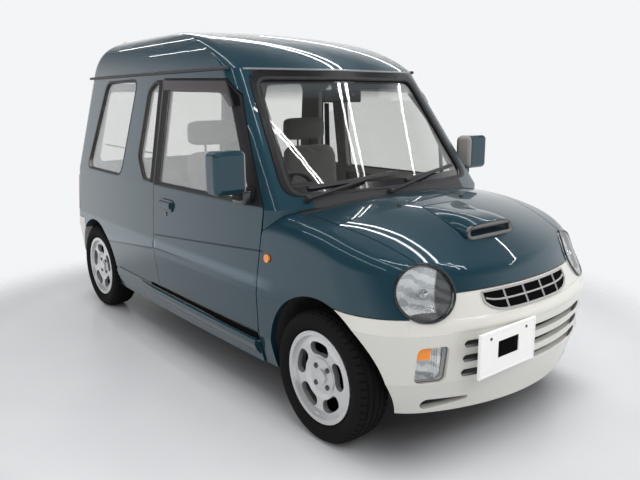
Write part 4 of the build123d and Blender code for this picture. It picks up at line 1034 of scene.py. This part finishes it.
# Wiper arms from their spindles up to the middle of each blade
WIPER_NUT = [(0.0, -0.012), (0.014, -0.012), (0.014, 0.010), (0.009, 0.016), (0.0, 0.017)]
arms = []
t = np.linspace(0.0, 1.0, 16)
z = 0.918 + 0.06 * t
arc = 0.012 + 0.010 * np.sin(np.pi * t)
for spindle, middle in ((-0.50, -0.17), (-0.085, 0.29)):
    y = spindle + (middle - spindle) * t
    path = columns(screen_skin(y, z) + arc * 0.79, y, z + arc * 0.5)
    arms.append(sweep(path, trapezoid(0.007, -0.004, 0.005, 0.004), SCREEN_OUT))
    arms.append(turned(WIPER_NUT, path[0], (0.6, 0.0, 0.8), 20))
piece("wiper_arms", arms, BLACK_TRIM)


# Side pressings: a shallow fold along the facet, cut at the shut line, and a thin raised line across each door
def fold(first, last, tail):
    """Ramp of 2.7 mm over the facet: quarter sine at its foot, half cosine above, faded over the tail."""
    line = np.r_[first, np.linspace(first + 0.003, last - 0.003, 68), last]
    u, v = np.meshgrid(line, np.r_[0.0, 0.06, 0.12, 0.18, np.linspace(0.24, 1.0, 12)], indexing="ij")
    foot = FACET_Z - FACET_FALL * np.maximum(u - FACET_BEND, 0.0)
    x, z = FRONT_AXLE_X - u, foot + (0.612 - foot) * v
    rise = np.where(v < 0.24, np.sin(np.pi * v / 0.48), 0.5 + 0.5 * np.cos(np.pi * (v - 0.24) / 0.76))
    ends = np.clip((u - first) / 0.003, 0.0, 1.0) * np.clip((last - u) / tail, 0.0, 1.0)
    return columns(x, side_skin(x, z) - 0.001 + 0.0027 * rise * ends, z)


side_sheets(fold(0.389, 1.363, 0.003), "door_fold_{}", DOOR_PAINT, 0.001, "door_{}")
side_sheets(fold(1.382, 1.93, 0.35), "side_fold_{}", SIDE_PAINT, 0.001)
u = np.linspace(0.372, 1.364, 60)
x, z = FRONT_AXLE_X - u, LINE_Z - LINE_FALL * u
line = sweep(columns(x, side_skin(x, z), z), oval(0.0026, 0.0012, 8), LEFT)
per_side("door_line_{}", [line], DOOR_PAINT, "door_{}")

# Sill skirts: a rounded bar that tapers at its rear end, under a black sheet of painted shade in the gap below the
# door
SKIRT_FRONT, SKIRT_REAR, SKIRT_RISE = 0.408, 1.585, 0.014
u = np.linspace(SKIRT_FRONT, SKIRT_REAR, 60)[:, None]
ring = np.linspace(0.0, 1.0, 14)[None]
taper = np.clip((SKIRT_REAR - u) / 0.17, 0.0, 1.0) ** 0.6
x = FRONT_AXLE_X - u
z = 0.309 + SKIRT_RISE * (u - SKIRT_FRONT) - (0.070 * taper + 0.004) * ring
skin_y = side_skin(x, z) + 0.0082
outer = columns(x, skin_y + (0.002 + 0.017 * taper) * np.sin(np.pi * ring**0.72) ** 0.6, z)
inner = columns(x, skin_y - 0.003, z)[:, -2:0:-1]
piece("sill_skirts", pair(loft(np.concatenate([outer, inner], 1))), TRIM_PAINT, "body")
u, v = grid(0.404, 1.46, 48, 0.0, 1.0, 6)
low = 0.308 + SKIRT_RISE * (u - SKIRT_FRONT)
x, z = FRONT_AXLE_X - u, low + (0.3405 - low) * v
step = 0.008 * np.clip((0.33 - z) / 0.03, 0.0, 1.0) + 0.0012
side_sheets(columns(x, side_skin(x, z) + step, z), "sill_groove_{}", SHADE_BLACK, 0.001)

# Door trim: belt strips, quarter-light bars, mirror glass, handles, key locks, inner cards
DOOR_BELT_Z, BAR_X, MIRROR_X = 0.8975, FRONT_AXLE_X - 0.545, FRONT_AXLE_X - 0.485
LOCK_X, LOCK_Z, WINDER_X, WINDER_Z = FRONT_AXLE_X - 1.215, 0.755, FRONT_AXLE_X - 0.66, 0.56
KEY_LOCK = [(0.0, 0.0), (0.011, 0.0), (0.011, 0.004), (0.008, 0.006), (0.0, 0.006)]
WINDER = [(0.0, -0.012), (0.024, -0.012), (0.020, 0.012), (0.0, 0.014)]
x = np.linspace(FRONT_AXLE_X - 0.44, FRONT_AXLE_X - 1.325, 40)
belt = columns(x, side_skin(x, DOOR_BELT_Z) + 0.001, DOOR_BELT_Z)
per_side("belt_strip_{}", [sweep(belt, oval(0.006, 0.005, 10), LEFT)], SEAL_RUBBER, "door_{}")
mirror_base = slab((FRONT_AXLE_X - 0.50, 0.676, 0.899), (FRONT_AXLE_X - 0.405, 0.724, 0.962), 0.012)
per_side("mirror_base_{}", [mirror_base], BLACK_GLOSS, "door_{}")
z = np.linspace(0.905, 1.095, 12)
path = columns(BAR_X + 0.02 * (z - 0.905), side_skin(BAR_X, z) - 0.006, z)
light_bar = sweep(path, trapezoid(0.009, -0.005, 0.009, 0.005), LEFT)
per_side("quarter_light_bar_{}", [light_bar], BLACK_TRIM, "door_{}")
mirror_face = slab((MIRROR_X - 0.003, 0.728, 0.966), (MIRROR_X + 0.004, 0.838, 1.11), 0.003, 0)
per_side("mirror_glass_{}", [mirror_face], MIRROR_SILVER, "door_{}")
path = upright(rect((0.722, 0.962), (0.844, 1.114)), 0.02, 0.01, MIRROR_X - 0.001)
per_side("mirror_rim_{}", [sweep(path, oval(0.004, 0.004, 8), FORWARD, True)], BLACK_TRIM, "door_{}")
x = np.linspace(FRONT_AXLE_X - 1.15, FRONT_AXLE_X - 1.27, 12)[None]
rows = np.array([(0.786, 0.0), (0.79, 0.012), (0.806, 0.015), (0.819, 0.012), (0.823, 0.0)])
z, proud = rows.T[:, :, None]
flap_out = columns(x, side_skin(x, z) + 0.004 + proud, z)
flap_in = columns(x, side_skin(x, z) + 0.002, z)[::-1]
flap = loft(np.concatenate([flap_out, flap_in]).transpose(1, 0, 2))
per_side("door_handle_{}", [flap], TRIM_PAINT, "door_{}")
handle_edge = rect((FRONT_AXLE_X - 1.145, 0.776), (FRONT_AXLE_X - 1.275, 0.829))
path, out = on_side(rounded(handle_edge, 0.014), 0.0075, 0.008)
lock_at = (LOCK_X, float(side_skin(LOCK_X, LOCK_Z)) - 0.002, LOCK_Z)
key_lock = turned(KEY_LOCK, lock_at, (0.0, 1.0, 0.06), 24)
per_side("handle_recess_{}", [sweep(path, oval(0.004, 0.002, 8), out, True), key_lock], BLACK_GLOSS, "door_{}")
x, z = grid(FRONT_AXLE_X - 1.30, FRONT_AXLE_X - 0.47, 24, 0.40, 0.872, 14)
swell = 0.006 * np.sin(np.clip((z - 0.5) / 0.3, 0, 1) * np.pi)
card = columns(x, side_skin(x, z) - 0.056 - swell, z)
side_sheets(card, "door_card_{}", GREY_PLASTIC, 0.008, body="door_{}")
x = np.linspace(FRONT_AXLE_X - 1.12, FRONT_AXLE_X - 0.72, 16)
path = columns(x, side_skin(x, 0.62) - 0.078, 0.62 + 0.02 * np.sin((x - x[0]) * 4))
arm_rest = sweep(path, rounded(trapezoid(0.022, -0.028, 0.022, 0.028), 0.014), UP)
wind_at = np.array([WINDER_X, float(side_skin(WINDER_X, WINDER_Z)) - 0.068, WINDER_Z])
path = wind_at + np.array([(0, -0.014, 0), (-0.045, -0.02, -0.05), (-0.075, -0.022, -0.085)])
winder = [turned(WINDER, wind_at, (0.0, -1.0, 0.0), 24), sweep(path, oval(0.007, 0.006, 8), LEFT)]
per_side("door_arm_rest_{}", [arm_rest, *winder], DASH_PLASTIC, "door_{}")

# Inside: carpets, dashboard trim, wheel pad, levers, belts, sun visors, side trims
DASH_BACK = FRONT_AXLE_X - 0.554
DIAL = [(0.0, 0.0), (0.045, 0.0), (0.045, 0.006), (0.040, 0.008), (0.038, 0.004), (0.0, 0.004)]
KNOB = [(0.0, 0.0), (0.014, 0.0), (0.012, 0.016), (0.0, 0.018)]
GAITER = [(0.0, 0.0), (0.055, 0.0), (0.03, 0.04), (0.012, 0.07), (0.0, 0.07)]
WHEEL_PAD = [(0.0, 0.0), (0.075, 0.0), (0.078, 0.012), (0.066, 0.026), (0.03, 0.033), (0.0, 0.034)]
COLUMN = [(0.0, -0.20), (0.046, -0.20), (0.052, -0.12), (0.045, -0.045), (0.0, -0.045)]
COLUMN_TILT, COLUMN_AT = math.radians(32), np.array([FRONT_AXLE_X - 0.715, -0.318, 0.838])
COLUMN_AXIS = np.array([-math.cos(COLUMN_TILT), 0.0, math.sin(COLUMN_TILT)])
piece("cabin_carpet", [slab((-0.84, -0.555, 0.2402), (0.725, 0.555, 0.2465), 0.002)], CARPET)
piece("load_carpet", [slab((-1.52, -0.488, 0.4402), (-0.865, 0.488, 0.447), 0.002)], CARPET)
y = np.linspace(-0.50, -0.136, 26)
arch = np.sqrt(np.clip(1 - ((y + 0.318) / 0.185) ** 4, 0, 1))
HOOD = ((0.0, 0.062), (0.03, 0.082), (0.09, 0.07), (0.15, 0.03))
hood = [columns(DASH_BACK + d, y, 0.868 + h * arch) for d, h in HOOD]
sheet(hood, "instrument_hood", DASH_PLASTIC, 0.006)
dials = [turned(DIAL, (DASH_BACK + 0.035, y, 0.892), (-1.0, 0.0, 0.25), 32) for y in (-0.385, -0.29, -0.215)]
piece("dial_faces", dials, BLACK_GLOSS)
vents = []
for y in (-0.49, -0.075, 0.075, 0.49):
    for z in 0.792 + 0.011 * np.arange(5):
        vents.append(slab((DASH_BACK - 0.006, y - 0.045, z), (DASH_BACK + 0.012, y + 0.045, z + 0.004), 0.001, 1))
    path = upright(rect((y - 0.05, 0.787), (y + 0.05, 0.846)), 0.01, 0.01, DASH_BACK - 0.004)
    vents.append(sweep(path, oval(0.004, 0.006, 8), FORWARD, True))
piece("dash_vents", vents, BLACK_TRIM)
stack = [
    slab((DASH_BACK - 0.004, -0.1, 0.70), (DASH_BACK + 0.03, 0.1, 0.756), 0.004, 0),
    slab((DASH_BACK + 0.002, -0.1, 0.645), (DASH_BACK + 0.03, 0.1, 0.693), 0.004, 0),
    slab((DASH_BACK + 0.0, 0.17, 0.665), (DASH_BACK + 0.03, 0.53, 0.765), 0.008, 0),
]
stack += [turned(KNOB, (DASH_BACK + 0.004, y, 0.67), (-1.0, 0.0, 0.1), 20) for y in (-0.07, 0.0, 0.07)]
piece("dash_panels", stack, GREY_PLASTIC)
console = [
    slab((0.02, -0.075, 0.247), (0.62, 0.075, 0.34), 0.02),
    sweep([(0.36, 0.0, 0.335), (0.35, 0.0, 0.43), (0.34, 0.0, 0.50)], oval(0.007, 0.007, 10), LEFT),
    cushion((0.315, -0.022, 0.49), (0.365, 0.022, 0.55), 0.8, 12, 20),
    turned(GAITER, (0.36, 0.0, 0.338), UP, 28),
    sweep([(0.0, 0.0, 0.335), (0.12, 0.0, 0.39), (0.2, 0.0, 0.43)], oval(0.012, 0.014, 12), LEFT),
]
piece("centre_console", console, DASH_PLASTIC)
pads, stems = [], []
for y in -0.40 + 0.1 * np.arange(3):
    pads.append(slab((0.60, y - 0.03, 0.31), (0.612, y + 0.03, 0.375), 0.004, 0))
    stems.append(sweep([(0.612, y, 0.36), (0.66, y, 0.5), (0.70, y, 0.62)], oval(0.006, 0.006, 8), LEFT))
piece("pedals", pads + stems, STEEL, "body")
pad = turned(WHEEL_PAD, COLUMN_AT + 0.002 * COLUMN_AXIS, COLUMN_AXIS, 40)
piece("wheel_pad", [pad], DASH_PLASTIC, "steering_wheel")
stalks = []
for s in (1, -1):
    steps = ((0.06, 0.02, 0.0), (0.045, 0.10, 0.01), (0.04, 0.165, 0.02))
    path = [COLUMN_AT - d * COLUMN_AXIS + (0, out * s, up) for d, out, up in steps]
    stalks.append(sweep(path, oval(0.007, 0.007, 10), UP))
piece("column_cover", stalks + [turned(COLUMN, COLUMN_AT, COLUMN_AXIS, 32)], DASH_PLASTIC)
path = np.linspace((FRONT_AXLE_X - 1.45, 0.60, 0.30), (FRONT_AXLE_X - 1.43, 0.565, 1.30), 20)
piece("seat_belts", pair(sweep(path, trapezoid(0.023, -0.0008, 0.023, 0.0008), LEFT)), CARPET)
y, t = grid(0.07, 0.40, 14, 0.0, 1.0, 6)
shade = columns(FRONT_AXLE_X - 0.655 - 0.125 * t - 0.06 * y, y, 1.412 + 0.022 * t)
side_sheets(shade, "sun_visor_{}", GREY_PLASTIC, 0.012)
x, z = grid(FRONT_AXLE_X - 1.50, -1.30, 24, 0.56, 0.862, 10)
side_sheets(columns(x, side_skin(x, z) - 0.056, z), "rear_side_trim_{}", GREY_PLASTIC, 0.008)

# Tail: handle, wiper, roof lamps, reflectors, fuel flap
TAIL_NUT = [(0.0, -0.012), (0.015, -0.012), (0.015, 0.010), (0.009, 0.016), (0.0, 0.017)]
DOME = [(0.0, -0.006), (0.017, -0.006), (0.017, 0.006), (0.013, 0.013), (0.006, 0.017), (0.0, 0.018)]
WIPER_UP = (-0.95, 0.0, 0.3)
y, z = grid(-0.19, 0.19, 12, 0.79, 0.83, 5)
handle = columns(tail_skin(y, z) - 0.006 - 0.012 * np.sin((z - 0.79) / 0.04 * np.pi), y, z)
sheet(handle, "tailgate_handle", BLACK_TRIM, 0.004, body="tailgate")
t = np.linspace(0.0, 1.0, 14)
y, z = 0.02 - 0.30 * t, 0.925 + 0.07 * t
path = columns(tail_skin(y, z) - 0.012 - 0.006 * np.sin(np.pi * t), y, z)
spindle = turned(TAIL_NUT, path[0] + np.array([0.008, 0, 0]), (-1.0, 0.0, 0.3), 20)
y = np.linspace(-0.44, -0.06, 20)
z = 0.987 - (y + 0.25) * 0.23
blade = columns(tail_skin(y, z) + 0.002, y, z)
flatbar = trapezoid(0.006, -0.004, 0.005, 0.004)
wiper = [sweep(path, flatbar, WIPER_UP), sweep(blade, flatbar * 0.8, WIPER_UP), spindle]
piece("tail_wiper", wiper, BLACK_TRIM, "tailgate")
roof = node_points("roof_panel")
corner = roof[(np.abs(roof[:, 1] - 0.40) < 0.04) & (roof[:, 0] < -1.22) & (roof[:, 0] > -1.34)]
lamp_at = corner[corner[:, 2].argmax()] - np.array([0, 0, 0.002])
marker = turned(DOME, lamp_at, (-0.45, 0.45, 0.77), 24)
piece("roof_marker_lamps", pair(marker), AMBER_LENS, "body")
y, z = grid(0.40, 0.50, 8, 0.40, 0.428, 4)
side_sheets(columns(tail_skin(y, z) - 0.001, y, z), "bumper_reflector_{}", RED_LENS, 0.004)
path, out = on_side(rounded(rect((-1.02, 0.66), (-0.86, 0.80)), 0.03), 0.0, 0.01)
piece("fuel_flap_line", [sweep(path, oval(0.0022, 0.0012, 6), out, True)], BLACK_TRIM)


# Engine bay, placed from the front axle: cam cover, air box, battery, tanks, hoses, strut tops
def bay_slab(low, high, radius):
    """Block of the engine bay, with x from the front axle."""
    shift = np.array([FRONT_AXLE_X, 0.0, 0.0])
    return slab(low + shift, high + shift, radius)


def hose(points, radius, up):
    """Round hose through points of the engine bay, with x from the front axle."""
    return sweep(np.array(points) + np.array([FRONT_AXLE_X, 0.0, 0.0]), oval(radius, radius, 14), up)


STRUT_TOP = [(0.0, 0.0), (0.055, 0.0), (0.055, 0.006), (0.03, 0.008), (0.026, 0.022), (0.0, 0.024)]
HOSE_UP = (0.0, 0.3, 1.0)
cover = [
    bay_slab((-0.14, -0.19, 0.715), (0.03, 0.20, 0.772), 0.02),
    bay_slab((0.10, -0.13, 0.70), (0.23, 0.13, 0.752), 0.01),
]
cover += [bay_slab((-0.12, y, 0.770), (0.01, y + 0.015, 0.778), 0.003) for y in -0.17 + 0.05 * np.arange(8)]
piece("cam_cover", cover, ALLOY, "body")
battery = [
    bay_slab((-0.19, 0.21, 0.62), (-0.06, 0.31, 0.79), 0.008),
    bay_slab((-0.185, 0.205, 0.785), (-0.065, 0.315, 0.80), 0.004),
]
piece("battery", battery, DASH_PLASTIC)
air_box = cushion((FRONT_AXLE_X + 0.06, -0.31, 0.66), (FRONT_AXLE_X + 0.22, -0.15, 0.765), 0.3)
piece("air_box", [air_box], BLACK_TRIM)
hoses = [
    hose([(0.2, -0.2, 0.70), (0.25, -0.17, 0.68), (0.30, -0.16, 0.62), (0.34, -0.16, 0.58)], 0.018, LEFT),
    hose([(0.02, 0.12, 0.74), (0.12, 0.2, 0.735), (0.24, 0.21, 0.68), (0.33, 0.2, 0.60)], 0.016, HOSE_UP),
    hose([(-0.1, -0.15, 0.74), (0.0, -0.23, 0.745), (0.1, -0.24, 0.73)], 0.02, HOSE_UP),
]
piece("engine_hoses", hoses, SEAL_RUBBER)
piece("strut_tops", pair(turned(STRUT_TOP, (FRONT_AXLE_X, 0.47, 0.785), UP, 28)), STEEL, "body")
tank = bay_slab((-0.27, -0.42, 0.70), (-0.19, -0.30, 0.82), 0.02)
piece("washer_tank", [tank], WHITE_PLATE, "body")


def coil(x, y, low, high, radius, turns, wire=0.006):
    """Spring: a helix about an upright line, with a round wire."""
    a = np.linspace(0.0, 2 * np.pi * turns, int(28 * turns))
    path = columns(x + radius * np.cos(a), y + radius * np.sin(a), low + (high - low) * a / a[-1])
    return sweep(path, oval(wire, wire, 8), UP)


for side, sign in SIDES:
    spring = coil(FRONT_AXLE_X, sign * 0.485, 0.565, 0.738, 0.054, 6)
    piece(f"front_spring_{side}", [spring], BLACK_GLOSS, f"knuckle_{side}")
piece("rear_springs", pair(coil(REAR_AXLE_X, 0.4, 0.305, 0.405, 0.048, 5)), BLACK_GLOSS, "body")

# Camera at the photograph's view
SENSOR_MM, FOCAL_PX, PHOTO_WIDE_PX = 36.0, 646.5, 640.0
VIEW_DOWN, VIEW_ROLL, VIEW_HEADING = math.radians(12.33), 0.0079, math.radians(141.08)
view = bpy.data.cameras.new("photo_view")
view.sensor_width = SENSOR_MM
view.lens = FOCAL_PX / PHOTO_WIDE_PX * SENSOR_MM
camera = bpy.data.objects.new("photo_view", view)
bpy.context.scene.collection.objects.link(camera)
camera.location = (2.9339, -2.1265, 1.3285)
camera.rotation_mode = "XYZ"
camera.rotation_euler = (math.pi / 2 - VIEW_DOWN, VIEW_ROLL, VIEW_HEADING - math.pi / 2)
bpy.context.scene.camera = camera

# Pale floor under the car and a white room
FLOOR_R = 2.7
floor_disc = turned([(0.0, -0.02), (FLOOR_R, -0.02), (FLOOR_R, 0.0), (1.2, 0.0), (0.0, 0.0)], (0, 0, 0), UP, 128)
floor_mesh = bpy.data.meshes.new("floor")
floor_mesh.from_pydata(floor_disc[0].tolist(), [], floor_disc[1][0].tolist())
floor = bpy.data.objects.new("floor", floor_mesh)
bpy.context.scene.collection.objects.link(floor)


def fading(name):
    """Pale satin floor with a painted shadow under the car, that clears towards its rim."""
    material, start, at, x, y, z = blank(name)
    cloud = noise(at, 2.5, 3.0)
    grain = noise(at, 160.0, 3.0)
    reach = (x * x + y * y).math("SQRT")
    along = 1.0 - (x.math("ABSOLUTE") - 1.40).ease(-0.10, 0.24)
    across = 1.0 - (y.math("ABSOLUTE") - 0.55).ease(-0.12, 0.22)
    # Painted shadow under the car
    under = along * across * 0.72
    light = colour_mix(cloud, (0.58, 0.585, 0.60), (0.63, 0.635, 0.645))
    sockets = {
        "Base Color": colour_mix(under, light, (0.05, 0.05, 0.052)),
        "Roughness": 0.26 + cloud * 0.1,
        "Normal": bump(grain, 0.02, 0.0002),
    }
    pale = skin(start, sockets)
    clear = start.node("ShaderNodeBsdfTransparent")
    return close(material, shader_mix(reach.ease(1.70, 2.68), pale, clear))


floor_mesh.materials.append(fading("pale_floor"))

room = bpy.data.worlds.new("studio")
bpy.context.scene.world = room
room.use_nodes = True
room.node_tree.nodes.clear()
sky = Wire(room.node_tree)
path_node = room.node_tree.nodes.new("ShaderNodeLightPath")
rays = [f"Is {kind} Ray" for kind in ("Camera", "Glossy", "Transmission")]
by_camera, by_gloss, by_glass = [Wire(room.node_tree, path_node.outputs[ray]) for ray in rays]
seen = by_camera.math("MAXIMUM", by_gloss).math("MAXIMUM", by_glass)
towards = sky.node("ShaderNodeTexCoord", output=0)
_, far_side, height = parts_of(towards)
ceiling = (height - far_side.math("MAXIMUM", 0.0) * 0.28).ease(0.10, 0.42) * (1.0 - by_camera)
wall = colour_mix(ceiling, (0.90, 0.91, 0.925), (0.10, 0.11, 0.12))
white = sky.node("ShaderNodeBackground", None, {"Color": wall, "Strength": 1.0})
glow = sky.node("ShaderNodeBackground", None, {"Color": (0.97, 0.98, 1.0, 1.0), "Strength": 0.62})
mixed = shader_mix(seen, glow, white)
world_out = room.node_tree.nodes.new("ShaderNodeOutputWorld")
room.node_tree.links.new(mixed.socket, world_out.inputs["Surface"])

# Lamps: name, place, aim, width, height, power, and whether glossy surfaces mirror them
TUBE_Y = (-1.75, -0.45, 1.42, 1.58, 3.3)
LAMPS = [
    ("top_box", (0.2, 0.0, 3.4), (0.0, 0.0, 0.0), 3.6, 2.0, 30.0, False),
    ("front_box", (3.6, -1.2, 2.6), (0.9, -0.2, 0.5), 1.8, 1.4, 45.0, False),
    ("nose_box", (3.3, 2.2, 1.9), (1.3, 0.0, 0.4), 1.6, 1.2, 38.0, False),
    ("side_box", (0.2, -3.8, 2.4), (0.0, 0.0, 0.6), 2.4, 1.4, 40.0, False),
]
LAMPS += [(f"tube_{k}", (-1.0, y, 3.2), (-1.0, y, 0.0), 0.045, 8.0, 17.0, True) for k, y in enumerate(TUBE_Y)]
LAMPS += [
    ("screen_tube_1", (1.775, 0.235, 3.2), (1.7825, 0.2417, 0.0), 0.02, 1.1, 2.6, True),
    ("screen_tube_2", (1.742, 0.272, 3.2), (1.7495, 0.2787, 0.0), 0.02, 1.1, 2.6, True),
]
for name, at, to, wide, high, power, mirrored_too in LAMPS:
    lamp = bpy.data.lights.new(name, "AREA")
    lamp.shape = "RECTANGLE"
    lamp.size, lamp.size_y, lamp.energy = wide, high, power
    holder = bpy.data.objects.new(name, lamp)
    bpy.context.scene.collection.objects.link(holder)
    holder.visible_glossy = mirrored_too
    holder.location = at
    aim = np.array(to) - np.array(at)
    flat = math.hypot(aim[0], aim[1])
    holder.rotation_euler = (math.atan2(flat, -aim[2]), 0.0, math.atan2(aim[1], aim[0]) - math.pi / 2)

bpy.context.scene.view_settings.view_transform = "Standard"
